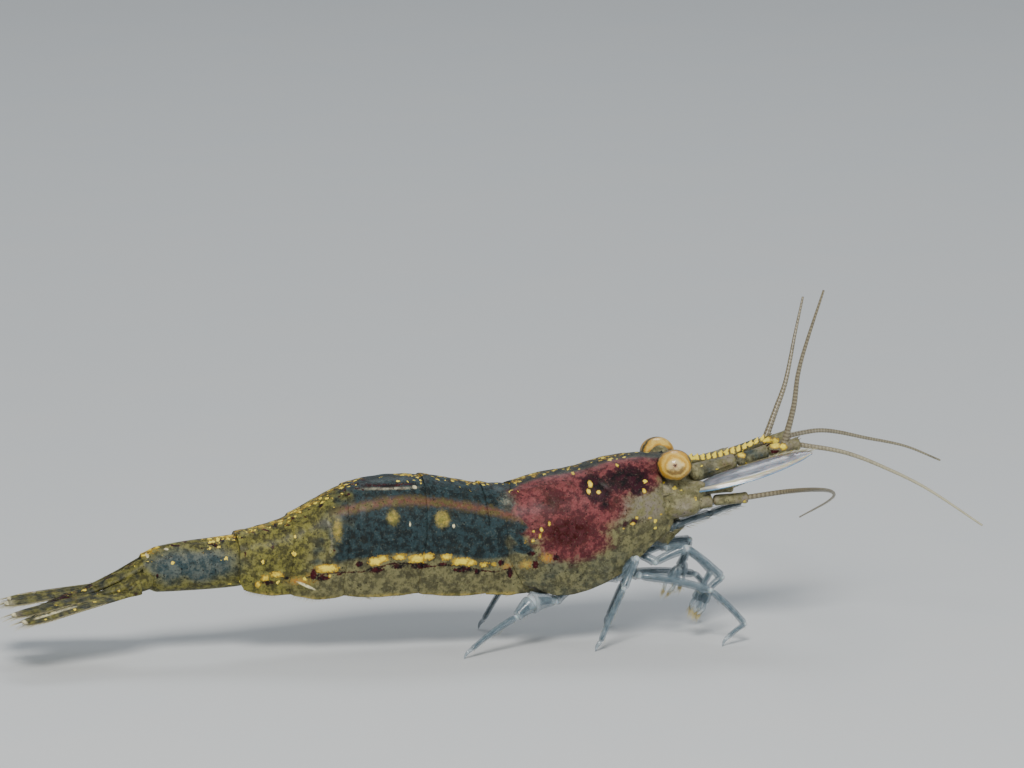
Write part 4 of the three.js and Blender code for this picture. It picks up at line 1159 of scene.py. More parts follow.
def hem_hairs(context, front_edge, rear_edge, index):
    """Short hairs along a side plate's lower edge, pointing down and back."""
    rng = np.random.default_rng(40 + index)
    count = 46
    share = np.tile(np.linspace(0.08, 0.92, count), 2)
    hand = np.repeat([RIGHT, LEFT], count)
    low = np.ones_like(share)
    x = front_edge(low) + (rear_edge(low) - front_edge(low)) * share
    y, z = flank(ABDOMEN_FORM, x, low, 0.0, hem_lift(share))
    roots = np.stack([x, hand * (y - 0.03), z + 0.03], axis=-1)
    ways = unit(np.stack([-0.35 + 0 * x, 0 * x, -1 + 0 * x], axis=-1) + rng.normal(0, 0.15, roots.shape))
    lengths = rng.uniform(0.1, 0.2, len(x))
    width = 0.6 * context.scene.shrimp_sizes.hair / MM
    u = 0.1 + 0.8 * (x + 9) / 11
    return hairs(roots, ways, lengths, width, (-0.3, 0, 0), u, 0.5 + 0.3 * hand, steps=4)


# ---- tail fan
TELSON = (  # along, up, half width, half thickness
    (-12.02, 3.5, 0.5, 0.3), (-12.4, 3.3, 0.53, 0.29), (-13.0, 3.03, 0.5, 0.24),
    (-14.1, 2.6, 0.41, 0.18), (-15.1, 2.31, 0.29, 0.13), (-15.5, 2.22, 0.2, 0.08),
    (-15.62, 2.19, 0.1, 0.04),
)
FAN_ROLL = 0.08  # how far the blades turn about their length, in radians
FAN_ARCH = 0.03
INNER_BLADE = {"root": (-12.2, 0.5, 2.86), "tip": (-17.0, 0.78, 2.07), "half": 0.47}
OUTER_BLADE = {"root": (-12.25, 0.8, 2.76), "tip": (-16.75, 1.62, 2.02), "half": 0.54}
TAIL_SPINES = (-13.2, -13.75, -14.25, -14.75, -15.15)


def no_marks(points):
    """Every marking at 0."""
    return {name: np.zeros(len(points)) for name in (*(row[0] for row in SHELL_LAYERS), "gold")}


def tail_marks(points):
    """The tail wears olive over dusk, with orange and milky ends."""
    x = points[:, 0]
    marks = no_marks(points)
    marks["dusk"] = marks["gold"] + 0.85
    marks["olive"] = 0.5 + 0.25 * ripple(points, 0.5, 12) + 0.3 * step(-14.0, -12.5, x)
    marks["orange"] = 0.4 * window(x, -16.2, -14.6, 0.4) * (0.5 + 0.5 * ripple(points, 0.7, 9))
    marks["milk"] = 0.6 * step(-16.3, -16.8, x)
    marks["sprinkle"] = marks["gold"] + 0.03
    marks["soot"] = marks["gold"] + 0.16
    return marks


def telson():
    """A tapering plate, vaulted above and flatter below, with a groove down its back and two dashed
    wine lines beside it."""
    x = np.linspace(-12.02, -15.62, 150)
    up, half, thick = columns(TELSON, x)
    angle = turns(64)
    rise = np.sin(angle)
    vault = np.where(rise > 0, 1.15 * rise, 0.6 * rise)
    groove = -0.3 * bump_at(np.cos(angle), 0, 0.16) * (rise > 0)
    y = half[:, None] * np.cos(angle)
    z = up[:, None] + thick[:, None] * (vault + groove)
    skin = marked(across_x(x[:, None], y, z), tail_marks)
    px, py, pz = skin.points.T
    up, half, _ = columns(TELSON, px)
    level = pz - up
    rims = step(0.6, 0.95, np.abs(py) / half)
    dashes = 0.5 + 0.5 * np.sin(px * 2 * np.pi / 0.75)
    lines = bump_at(np.abs(py), 0.16, 0.1) * step(0.35, 0.7, dashes)
    skin.values["wine"] = 0.75 * step(0.05, 0.12, level) * lines
    skin.values["milk"] = 0.15 * rims
    skin.values["night"] = 0.75 * window(px, -15.6, -14.9, 0.25) * (level > 0)
    skin.values["sprinkle"] = 0.05 + 0 * px
    return skin


def blade_line(side, blade, count):
    """Places down the middle of a tail blade: straight from root to tip, arched and rolled a little."""
    share = np.linspace(0, 1, count)
    root, tip = (np.array(blade[end]) * (1, side, 1) for end in ("root", "tip"))
    path = root + (tip - root) * share[:, None]
    path[:, 2] += FAN_ARCH * np.sin(np.pi * share) + path[:, 1] * FAN_ROLL * share
    return share, path, unit(np.gradient(path, axis=0))


def blade_width(share):
    """Half the width of a blade along it, as a share of the greatest: narrow root, rounded tip."""
    body = through((0, 0.1, 0.3, 0.55, 0.8, 0.92), (0.25, 0.62, 0.82, 0.95, 1.0, 0.88), share)
    return body * np.sqrt(np.clip(1 - np.clip((share - 0.86) / 0.14, 0, 1) ** 2, 0, 1)).clip(0.04)


FAN_BASE = (  # along, across, up, half width, half height
    (-11.75, 0.36, 3.02, 0.24, 0.34), (-12.1, 0.42, 2.98, 0.3, 0.38), (-12.5, 0.5, 2.88, 0.32, 0.35),
    (-12.9, 0.58, 2.78, 0.3, 0.27), (-13.3, 0.62, 2.7, 0.26, 0.18), (-13.8, 0.66, 2.62, 0.12, 0.07),
)


def tail_blade(side, blade, thick, outer):
    """A thin blade with a raised rib down its middle and, on the outer one, a cross joint near its end."""
    share, path, ways = blade_line(side, blade, 150)
    angle = turns(56)
    reach, rise = np.cos(angle), np.sin(angle)
    level, upright = across(ways, (0, 0, 1))
    side_way = level * np.cos(FAN_ROLL) - upright * np.sin(FAN_ROLL)
    up_way = upright * np.cos(FAN_ROLL) + level * np.sin(FAN_ROLL)
    half = blade["half"] * blade_width(share)
    rib = 0.9 * bump_at(reach, 0, 0.12) + 0.5 * bump_at(reach, -0.55 * side, 0.09)
    root_swell = 1 + 3.2 * (1 - step(0.0, 0.16, share))
    joint = 1 - (0.45 * bump_at(share, 0.78, 0.008) if outer else 0)
    lens = np.sqrt(np.abs(rise)) * np.sign(rise)
    fade = (1 - 0.8 * step(0.75, 1.0, share))[:, None]
    deep = thick * (root_swell * joint)[:, None] * lens * (1 + rib * fade * (rise > 0))
    droop = -0.12 * half[:, None] * reach**2
    rings = path[:, None] + side_way[:, None] * (half[:, None] * reach)[..., None]
    rings = rings + up_way[:, None] * (deep + droop)[..., None]
    skin = marked(loft(rings), tail_marks)
    skin_share = np.concatenate([np.repeat(share, 56), [0, 1]])
    skin_reach = np.concatenate([np.tile(reach, 150), [0, 0]])
    ribs = np.maximum(bump_at(skin_reach, 0, 0.13), bump_at(skin_reach, -0.55 * side, 0.1))
    skin.values["orange"] = np.maximum(skin.values["orange"], 0.4 * ribs)
    skin.values["night"] = 0.45 * step(0.88, 1.0, np.abs(skin_reach)) * (1 - step(0.85, 0.95, skin_share))
    skin.values["cream"] = 0.8 * step(0.95, 0.985, skin_share)
    if outer:
        streak = bump_at(skin_reach, -0.25 * side, 0.3) * window(skin_share, 0.58, 0.88, 0.1)
        skin.values["cream"] = np.maximum(skin.values["cream"], 0.6 * streak)
    return skin


def blade_fringe(context, side, blade, order):
    """Hairs round a blade's free edge, longest at its tip, fanning out and back."""
    sizes = context.scene.shrimp_sizes
    rng = np.random.default_rng(60 + order)
    count = 95
    share = np.tile(np.linspace(0.32, 0.995, count), 2)
    margin = np.repeat([-1.0, 1.0], count)
    _, path, ways = blade_line(side, blade, 400)
    at = np.clip((share * 399).astype(int), 0, 399)
    side_way, _ = across(ways[at], (0, 0, 1))
    half = blade["half"] * blade_width(share)
    roots = path[at] + side_way * (margin * half * 0.97)[:, None]
    roots[:, 2] -= 0.12 * half
    lean = step(0.75, 1.0, share)[:, None]
    ways_out = unit(side_way * margin[:, None] * (0.55 - 0.3 * lean) + ways[at] * (0.8 + lean))
    ways_out = unit(ways_out + rng.normal(0, 0.05, roots.shape))
    longest = sizes.fringe / MM
    lengths = longest * (0.45 + 0.55 * step(0.5, 1.0, share)) * rng.uniform(0.8, 1.05, len(share))
    v = (order + 0.5 + 0.35 * margin * half) / 5
    return hairs(roots, ways_out, lengths, sizes.hair / MM, (0, 0, -0.1), share * 0.9, v)


class SHRIMP_OT_tail(bpy.types.Operator):
    """The telson with its spines, the four blades of the fan and their fringes"""

    bl_idname = "shrimp.tail"
    bl_label = "Tail fan"

    def execute(self, context):
        material = finish(context, "shell")
        thick = context.scene.shrimp_sizes.blade / MM
        skins = [telson()]
        for x in TAIL_SPINES:
            up, half, _ = columns(TELSON, x)
            for _, hand in SIDES:
                root = (x + 0.04, hand * half * 0.72, up + 0.1)
                tip = (x - 0.2, hand * half * 0.8, up + 0.13)
                skins.append(marked(spike(root, tip, 0.03), tail_marks))
        for offset in np.linspace(-0.16, 0.16, 6):
            reach = 0.3 if abs(offset) > 0.1 else 0.2
            root = (-15.5, offset, 2.21)
            tip = (-15.6 - reach, offset * 1.5, 2.17)
            skins.append(marked(spike(root, tip, 0.03), tail_marks))
        make_piece("shell_telson", skins, material, "tail_fan", "telson")
        fringe = []
        for name, side in SIDES:
            for label, blade in (("inner", INNER_BLADE), ("outer", OUTER_BLADE)):
                skin = tail_blade(side, blade, thick, label == "outer")
                node = f"tail_{label}_{name}"
                skins = [skin] if label == "inner" else [skin, marked(aside(FAN_BASE, side), tail_marks)]
                make_piece(f"blade_{node}", skins, material, "tail_fan", node)
                fringe.append(blade_fringe(context, side, blade, len(fringe)))
        make_piece("tail_fringe", fringe, finish(context, "setae"), "tail_fan")
        return {"FINISHED"}


# ---- head, mouth and thorax as one skin
HEAD = (  # along, up, half width, half height
    (6.6, 5.3, 0.6, 0.6), (6.9, 5.35, 0.72, 0.72), (7.5, 5.42, 0.86, 0.88), (8.1, 5.56, 0.83, 0.8),
    (8.5, 5.76, 0.62, 0.52), (8.62, 5.82, 0.35, 0.3),
)
MOUTH = ((6.75, 4.2, 0.3, 0.34), (7.3, 4.2, 0.36, 0.42), (7.7, 4.28, 0.32, 0.36), (8.0, 4.4, 0.16, 0.18))


def head_marks(points):
    """Olive grey flesh with a few dark points and gold flecks, browner between the eyes."""
    x, z = points[:, 0], points[:, 2]
    marks = no_marks(points)
    marks["veil"] = 0.5 + 0.25 * ripple(points, 0.8, 21)
    marks["olive"] = 0.35 * step(5.3, 4.8, z)
    marks["milk"] = 0.75 * blotches(x, z, ((7.25, 5.85, 0.4, 0.22), (7.9, 5.0, 0.25, 0.12)), 0.3)
    marks["soft_gold"] = 0.45 * blotches(x, z, ((7.9, 5.6, 0.3, 0.2), (7.4, 4.9, 0.3, 0.2)), 0.3)
    marks["slate"] = 0.7 * step(3.6, 2.6, z)
    marks["wine"] = 0.35 * blotches(x, z, ((8.0, 6.2, 0.3, 0.15),), 0.3)
    marks["sprinkle"] = marks["gold"] + 0.04
    marks["soot"] = marks["gold"] + 0.12
    return marks


CHEEK = (  # along, across, up, half width, half height: the broad base of an antenna
    (6.9, 0.7, 5.25, 0.34, 0.6), (7.4, 0.82, 5.31, 0.45, 0.74), (7.95, 0.88, 5.36, 0.44, 0.68),
    (8.4, 0.92, 5.42, 0.36, 0.5), (8.68, 0.96, 5.46, 0.24, 0.32), (8.82, 0.98, 5.5, 0.1, 0.14),
)
ANTENNA_ROOT = (  # along, across, up, half thickness
    (7.0, 0.75, 4.95, 0.42), (7.7, 0.84, 5.05, 0.52), (8.3, 0.97, 5.12, 0.47), (8.52, 1.01, 5.15, 0.38),
    (8.62, 1.02, 5.16, 0.2), (8.65, 1.02, 5.16, 0.05),
)
SCALE_ROOT = (  # along, across, up, half thickness
    (7.7, 0.85, 5.5, 0.34), (8.2, 1.0, 5.6, 0.32), (8.65, 1.08, 5.7, 0.24), (8.8, 1.11, 5.73, 0.16),
    (8.85, 1.12, 5.74, 0.04),
)
LEG_BASES = (  # the row of leg bases along each side, under the hem
    (1.6, 0.95, 2.52, 0.1, 0.12), (1.85, 1.0, 2.42, 0.26, 0.28), (2.2, 1.02, 2.34, 0.34, 0.34),
    (2.8, 1.0, 2.3, 0.36, 0.35), (3.7, 0.92, 2.32, 0.34, 0.33), (4.6, 0.85, 2.52, 0.32, 0.3),
    (5.5, 0.8, 2.9, 0.3, 0.28), (6.2, 0.7, 3.34, 0.24, 0.22), (6.6, 0.6, 3.6, 0.1, 0.1),
)
MOUTH_PLATE = (  # the flat second maxilliped that covers the mouth on each side
    (5.9, 0.7, 3.75, 0.22, 0.2), (6.3, 0.82, 3.9, 0.28, 0.34), (6.8, 0.88, 4.14, 0.3, 0.52),
    (7.2, 0.86, 4.32, 0.28, 0.52), (7.5, 0.8, 4.42, 0.2, 0.4), (7.68, 0.76, 4.48, 0.08, 0.2),
)


# The three small lobes at the mouth, one below the other: reach, drop and half width.
LESSER_MOUTHPARTS = ((0.9, 0.0, 0.16), (0.62, 0.22, 0.14), (0.4, 0.4, 0.12))


def aside(stations, side):
    """Ovals carried along x on one side of the body: along, across, up, half width, half height."""
    skin = oval_loft([(x, up, half, high) for x, _, up, half, high in sorted(stations)])
    skin.points[:, 1] += side * columns(stations, skin.points[:, 0])[0]
    return skin


def oval_loft(stations):
    """Ovals carried along x: stations are (along, up, half width, half height)."""
    x = np.linspace(stations[0][0], stations[-1][0], 60)
    up, half, high = columns(map(tuple, stations), x)
    angle = turns(48)
    return across_x(x[:, None], half[:, None] * np.cos(angle), up[:, None] + high[:, None] * np.sin(angle))


def thorax_stations():
    """The thorax fills the trough under the carapace: ovals between its belly and its hem."""
    x = np.linspace(2.3, 6.95, 8)
    roof = measure(CARAPACE_FORM, "belly", x) + 0.1
    floor = measure(CARAPACE_FORM, "hem", x) + 0.28
    half = (measure(CARAPACE_FORM, "half", x) * (1 - TUCK) - 0.5) * 0.92
    return np.stack([x, (roof + floor) / 2, half, np.maximum(roof - floor, 0.5) / 2], axis=-1)


def stalk(side):
    """An eyestalk: it leaves the head, swells and ends in a cup behind the eye."""
    stops = (
        (7.45, side * 0.22, 6.0, 0.34),
        (7.5, side * 0.6, 6.28, 0.36),
        (7.55, side * 0.95, 6.48, 0.46),
        (7.57, side * 1.2, 6.58, 0.56),
    )
    return rod(stops, 24, (1, 0, 0))


SKIN_GRAIN = 0.035  # millimetres across a cell of the rebuilt skin


def joined_skin(context, skins):
    """One closed skin over many that cross each other: their union, rebuilt in small even cells and
    relaxed, which leaves no seam between them. Returns its mesh, and its points in millimetres."""
    rough = bpy.data.objects.new("rough", mesh_of("rough", skins))
    context.scene.collection.objects.link(rough)
    remesh = rough.modifiers.new("one skin", "REMESH")
    remesh.mode = "VOXEL"
    remesh.voxel_size = SKIN_GRAIN * MM
    relax = rough.modifiers.new("relax", "SMOOTH")
    relax.iterations = 4
    graph = context.evaluated_depsgraph_get()
    mesh = bpy.data.meshes.new_from_object(rough.evaluated_get(graph))
    bpy.data.objects.remove(rough)
    mesh.materials.clear()
    mesh.shade_smooth()
    points = np.empty(len(mesh.vertices) * 3)
    mesh.vertices.foreach_get("co", points)
    return mesh, points.reshape(-1, 3) / MM - SHIFT


class SHRIMP_OT_soft_body(bpy.types.Operator):
    """Head, eyestalks, mouthparts and thorax as one seamless skin"""

    bl_idname = "shrimp.soft_body"
    bl_label = "Soft body"

    def execute(self, context):
        skins = [oval_loft(HEAD), oval_loft(MOUTH), oval_loft(thorax_stations())]
        for _, side in SIDES:
            skins += [aside(CHEEK, side), aside(MOUTH_PLATE, side), aside(LEG_BASES, side)]
            skins.append(stalk(side))
            for stops in (ANTENNA_ROOT, SCALE_ROOT):
                skins.append(rod([(x, side * y, z, thick) for x, y, z, thick in stops], 24))
            for reach, drop, wide in LESSER_MOUTHPARTS:
                stops = (
                    (6.9, side * 0.35, 4.1 - drop, wide),
                    (7.3 + 0.4 * reach, side * 0.4, 4.0 - drop, wide),
                    (7.3 + reach, side * 0.22, 4.2 - drop, wide * 0.6),
                )
                skins.append(rod(stops, 20, around=20, deep=1.6))
        mesh, points = joined_skin(context, skins)
        set_fields(mesh, head_marks(points))
        nodes = ("head", "mouthparts", "thorax", "eyestalk_right", "eyestalk_left")
        make_piece("skin_soft_body", mesh, finish(context, "flesh"), "soft_body", *nodes)
        return {"FINISHED"}


# ---- eyes
EYE_AXIS = (-0.2, 0.96, 0.17)  # where the left eye's point looks


class SHRIMP_OT_eyes(bpy.types.Operator):
    """Two stalked compound eyes: slightly flattened balls, ringed round the point that each looks along"""

    bl_idname = "shrimp.eyes"
    bl_label = "Eyes"

    def execute(self, context):
        polar = np.linspace(0.01, 0.985, 110) * np.pi
        turn = (polar / np.pi)[:, None]
        radius = EYE["radius"] * (1 - 0.02 * step(0.5, 1.0, turn))[..., None]
        for name, side in SIDES:
            centre = np.array((EYE["x"], side * EYE["y"], EYE["z"]))
            rings, out = ball(0.0, radius, unit(np.array(EYE_AXIS) * (1, side, 1)), polar, 120)
            # Painted shade: a brown crescent just below the eye's point, and a fainter brown over the eye's
            # lower side.
            below = 0.5 - 0.9 * out[..., 2] + 0.12 * out[..., 0]
            patch = 0.55 * step(0.25, 0.7, below) * window(turn, 0.05, 0.19, 0.07)
            low = np.maximum(patch, 0.25 * step(0.6, 1.1, below))
            skin = loft(centre + rings * (1, 1, EYE["flat"]), polar=turn, low=low)
            make_piece(f"ball_eye_{name}", [skin], finish(context, "eye"), "eyes", f"eye_{name}")
        return {"FINISHED"}


# ---- limbs
# Share along a limb's segment, and how thick it is there: a narrow neck, a slight waist, a flared end.
SEGMENT_SHARES = (0.0, 0.04, 0.12, 0.45, 0.8, 0.95, 1.0)
SEGMENT_GIRTH = (0.66, 0.8, 0.87, 0.9, 0.97, 1.1, 0.96)


def steady(way):
    """A reference that a direction is well clear of: up, or to the left where it is steep itself."""
    return (0, 1, 0) if abs(way[2]) > 0.75 else (0, 0, 1)


def segment(start, end, thick, bow=0.0, look=0, fill=1.0, around=14):
    """One limb segment: rings from joint to joint, thick by SEGMENT_GIRTH times an even taper."""
    start, end = np.array(start), np.array(end)
    long = np.linalg.norm(end - start)
    count = int(np.clip(long / 0.05, 14, 60))
    share = np.linspace(0, 1, count)
    way = unit(end - start)
    reference = steady(way)
    _, up = across(way, reference)
    path = start + (end - start) * share[:, None] + up * (bow * np.sin(np.pi * share))[:, None]
    ways = unit(np.gradient(path, axis=0))
    girth = through(SEGMENT_SHARES, SEGMENT_GIRTH, share) if look == 0 else 0.85
    reach = (thick[0] + (thick[1] - thick[0]) * share) * girth * fill
    reach = reach * np.sqrt(np.clip(1 - (2 * share - 1) ** 16, 0.1, 1))
    from_end = np.minimum(share, 1 - share) * long
    joint = np.exp(-((from_end / (0.8 * thick[1] + 0.05)) ** 2))
    return loft(tube(path, ways, reach, reach, reference, around), look=look, joint=joint[:, None])


def knuckle(at, radius):
    """A milky ball that fills the bend between two segments."""
    rings, _ = ball(np.array(at), radius, np.array((0.0, 0.0, 1.0)), np.linspace(0.06, 0.94, 10) * np.pi, 14)
    return loft(rings, look=1, joint=1.0)


def limb(stops, core, bow=0.03, milky=0.6):
    """A jointed limb through stops (x, y, z, half thickness): clear segments with muscle inside."""
    skins = []
    for a, b in pairwise(stops):
        thick = (a[3], b[3])
        arch = bow * np.linalg.norm(np.subtract(b[:3], a[:3]))
        skins.append(segment(a[:3], b[:3], thick, arch))
        skins.append(segment(a[:3], b[:3], thick, arch, look=1, fill=core))
    for stop in stops[1:-1]:
        skins.append(knuckle(stop[:3], 0.7 * stop[3]))
    for skin in skins:
        skin.values["joint"] = milky * skin.values["joint"]
    return skins


def limb_bristles(stops, width, seed, spacing=0.16, length_mm=0.16):
    """Short bristles along a limb, mostly on its lower side, leaning towards its tip."""
    rng = np.random.default_rng(seed)
    made = []
    for order, (a, b) in enumerate(pairwise(stops)):
        start, end = np.array(a[:3]), np.array(b[:3])
        long = np.linalg.norm(end - start)
        count = max(int(long / spacing), 3)
        share = np.linspace(0.08, 0.95, count) + rng.uniform(-0.02, 0.02, count)
        way = unit(end - start)
        side, up = across(way, steady(way))
        turn = rng.normal(-np.pi / 2, 0.7, count)
        out = side * np.cos(turn)[:, None] + up * np.sin(turn)[:, None]
        thick = (a[3] + (b[3] - a[3]) * share) * 0.85
        roots = start + (end - start) * share[:, None] + out * thick[:, None]
        ways = unit(out * 0.6 + way + rng.normal(0, 0.1, roots.shape))
        lengths = length_mm * rng.uniform(0.7, 1.3, count)
        u = (order + share) / len(stops)
        made.append(hairs(roots, ways, lengths, width, (0, 0, 0), u, 0.3 + 0.1 * np.sin(turn), steps=4))
    return made


def hooked_toe(root, tip, thick):
    """The last joint of a walking leg: it narrows, curves inwards and ends in a hook."""
    root, tip = np.array(root), np.array(tip)
    share = np.linspace(0, 1, 22)
    way = tip - root
    side = unit(np.cross(way, (0, 0, 1.0)))
    bend = unit(np.cross(side, way))
    path = root + way * share[:, None] + bend * (0.12 * np.linalg.norm(way) * np.sin(np.pi * share))[:, None]
    ways = unit(np.gradient(path, axis=0))
    reach = thick * (1 - share) ** 0.7 + 0.012
    rings = tube(path, ways, reach, reach, (0, 1, 0), 12)
    return loft(rings, joint=(0.6 * (1 - share))[:, None])


# Legs by pair and side: root, joints and foot (x, y, z, half thickness). A claw leg ends at its wrist.
WALKING_LEGS = {
    (3, "right"): (
        (5.5, -0.66, 2.75, 0.24), (6.3, -1.15, 2.5, 0.2), (8.85, -1.75, 1.95, 0.15),
        (10.05, -2.2, 0.72, 0.12), (9.35, -2.45, 0.32, 0.09), (9.1, -2.56, 0.0, 0.05),
    ),
    (3, "left"): (
        (5.5, 0.66, 2.75, 0.24), (6.3, 1.1, 2.15, 0.2), (9.2, 1.9, 1.85, 0.15),
        (9.66, 2.15, 1.3, 0.12), (9.46, 2.42, 0.34, 0.09), (9.38, 2.47, 0.0, 0.05),
    ),
    (4, "right"): (
        (4.75, -0.68, 2.4, 0.24), (5.5, -1.25, 2.5, 0.2), (6.05, -1.74, 3.25, 0.18),
        (5.52, -1.98, 2.22, 0.15), (4.55, -2.32, 0.32, 0.1), (4.36, -2.39, 0.0, 0.05),
    ),
    (4, "left"): (
        (4.75, 0.68, 2.4, 0.24), (5.3, 1.3, 2.2, 0.2), (6.75, 1.75, 2.95, 0.17),
        (6.44, 2.0, 1.6, 0.14), (5.95, 2.2, 0.34, 0.1), (5.83, 2.25, 0.0, 0.05),
    ),
    (5, "right"): (
        (3.95, -0.66, 2.15, 0.24), (3.1, -1.2, 1.72, 0.22), (2.15, -1.5, 1.74, 0.42),
        (1.52, -1.75, 1.28, 0.16), (-0.35, -2.5, 0.3, 0.09), (-0.62, -2.61, 0.0, 0.05),
    ),
    (5, "left"): (
        (3.95, 0.66, 2.15, 0.24), (3.5, 1.5, 1.8, 0.22), (2.85, 2.15, 2.35, 0.22),
        (2.25, 2.3, 2.05, 0.16), (1.25, 2.5, 0.34, 0.09), (1.08, 2.56, 0.0, 0.05),
    ),
}
CLAW_LEGS = {
    (1, "right"): (
        (6.75, -0.36, 3.68, 0.2), (7.5, -0.4, 3.35, 0.18), (8.35, -0.42, 3.3, 0.17),
        (7.98, -0.42, 2.62, 0.14),
    ),
    (1, "left"): (
        (6.75, 0.36, 3.68, 0.2), (7.6, 0.4, 3.4, 0.18), (8.6, 0.42, 3.45, 0.17),
        (8.39, 0.42, 2.65, 0.14),
    ),
    (2, "right"): (
        (6.2, -0.66, 3.3, 0.2), (6.95, -1.0, 2.95, 0.18), (8.1, -1.05, 3.42, 0.2),
        (9.45, -1.08, 2.28, 0.17), (8.95, -1.12, 1.88, 0.13),
    ),
    (2, "left"): (
        (6.2, 0.66, 3.3, 0.2), (6.95, 1.0, 2.9, 0.18), (8.3, 1.05, 3.3, 0.18),
        (9.6, 1.1, 2.1, 0.15), (9.27, 1.15, 1.46, 0.12),
    ),
}
# Each claw: wrist, where its fingers part, and tip.
CLAWS = {
    (1, "right"): ((7.97, -0.42, 2.6), (7.76, -0.42, 2.18), (7.5, -0.42, 1.7)),
    (1, "left"): ((8.38, 0.42, 2.62), (8.27, 0.42, 2.2), (8.13, 0.42, 1.72)),
    (2, "right"): ((8.94, -1.12, 1.86), (8.72, -1.13, 1.45), (8.45, -1.15, 0.98)),
    (2, "left"): ((9.26, 1.15, 1.44), (9.12, 1.17, 1.05), (8.95, 1.2, 0.58)),
}


def claw(wrist, parting, tip, width, seed):
    """A nipper: an oval palm, two spoon-shaped fingers a little apart, and a brush on each tip."""
    wrist, parting, tip = (np.array(p) for p in (wrist, parting, tip))
    way = unit(tip - wrist)
    side, _ = across(way, (0, 1, 0))
    count = 26
    share = np.linspace(0, 1, count)
    path = wrist - 0.06 * way + (parting - wrist + 0.12 * way) * share[:, None]
    ways = np.broadcast_to(way, path.shape)
    girth = through((0, 0.15, 0.5, 0.85, 1.0), (0.09, 0.17, 0.23, 0.24, 0.14), share)
    palm = tube(path, ways, girth, 0.75 * girth, (0, 1, 0), 18)
    flesh = tube(path, ways, 0.6 * girth, 0.45 * girth, (0, 1, 0), 14)
    skins = [loft(palm, joint=bump_at(share, 0, 0.2)[:, None]), loft(flesh, look=1, joint=0.15)]
    brushes = []
    rng = np.random.default_rng(seed)
    for finger in (-1, 1):
        root = parting + side * finger * 0.11
        end = tip + side * finger * 0.06
        path = root + (end - root) * share[:, None] + side * (finger * 0.09 * np.sin(np.pi * share))[:, None]
        ways = unit(np.gradient(path, axis=0))
        girth = through((0, 0.3, 0.7, 0.9, 1.0), (0.1, 0.09, 0.1, 0.08, 0.03), share)
        rings = tube(path, ways, 0.7 * girth, girth, (0, 1, 0), 14)
        skins.append(loft(rings, joint=0.25 + 0.5 * share[:, None]))
        at = rng.integers(16, count, 34)
        roots = path[at] + rng.normal(0, 0.02, (len(at), 3))
        out = unit(way + side * finger * 0.25 + rng.normal(0, 0.2, (len(at), 3)))
        lengths = rng.uniform(0.2, 0.42, len(at))
        v = np.full(len(at), 0.5 + 0.2 * finger)
        curl = -0.25 * side * finger
        brushes.append(hairs(roots, out, lengths, 0.8 * width, curl, 0.2 + 0.6 * at / count, v))
    return skins, brushes


class SHRIMP_OT_walking_legs(bpy.types.Operator):
    """Three pairs of walking legs with bristles and hooked toes"""

    bl_idname = "shrimp.walking_legs"
    bl_label = "Walking legs"

    def execute(self, context):
        sizes = context.scene.shrimp_sizes
        bristles = []
        for (number, name), stops in WALKING_LEGS.items():
            skins = limb(stops[:-1], sizes.limb_core)
            skins.append(hooked_toe(stops[-2][:3], stops[-1][:3], stops[-2][3] * 0.85))
            node = f"leg_{number}_{name}"
            make_piece(f"walking_{node}", skins, finish(context, "limb"), "limbs", node)
            bristles += limb_bristles(stops[1:-1], 0.6 * sizes.hair / MM, 10 * number + len(name))
        make_piece("leg_bristles", bristles, finish(context, "setae"), "limbs")
        return {"FINISHED"}


class SHRIMP_OT_claw_legs(bpy.types.Operator):
    """Two pairs of legs with nippers, and the brushes on their fingers"""

    bl_idname = "shrimp.claw_legs"
    bl_label = "Claw legs"

    def execute(self, context):
        sizes = context.scene.shrimp_sizes
        materials = finish(context, "limb")
        brushes = []
        for (number, name), stops in CLAW_LEGS.items():
            node = f"leg_{number}_{name}"
            make_piece(f"claw_{node}", limb(stops, sizes.limb_core), materials, "limbs", node)
            places = CLAWS[number, name]
            skins, tufts = claw(*places, sizes.hair / MM, 100 + 10 * number + len(name))
            node = f"claw_{number}_{name}"
            make_piece(f"nipper_{node}", skins, materials, "limbs", node)
            brushes += tufts
        make_piece("claw_brushes", brushes, finish(context, "brush"), "limbs")
        return {"FINISHED"}


# The third maxilliped, from its root to its tip (x, y, z, half thickness).
MAXILLIPED = ((6.7, 0.7, 4.0, 0.22), (7.7, 0.72, 4.2, 0.2), (9.1, 0.7, 4.62, 0.17), (10.3, 0.66, 4.94, 0.1))


class SHRIMP_OT_mouth_limbs(bpy.types.Operator):
    """The third maxillipeds, held forwards under the head, with combs of hair inside"""

    bl_idname = "shrimp.mouth_limbs"
    bl_label = "Mouth limbs"

    def execute(self, context):
        sizes = context.scene.shrimp_sizes
        combs = []
        for name, side in SIDES:
            stops = tuple((x, side * y, z, thick) for x, y, z, thick in MAXILLIPED)
            node = f"maxilliped_{name}"
            skins = limb(stops, sizes.limb_core, milky=0.25)
            # Painted shade: the mouth limbs, held under the head, are darkened towards dark slate all along.
            for skin in skins:
                skin.values["dusk"] = np.full(len(skin.points), 0.55)
            make_piece(f"mouth_{node}", skins, finish(context, "limb"), "limbs", node)
            combs += limb_bristles(stops, 0.7 * sizes.hair / MM, 90 + side, 0.05, 0.26)
        make_piece("mouth_combs", combs, finish(context, "setae"), "limbs")
        return {"FINISHED"}


# ---- swimming legs
SWIMMERET_ROOTS = (1.05, -0.45, -1.95, -3.45, -4.95)
LEAF_RINGS = 40


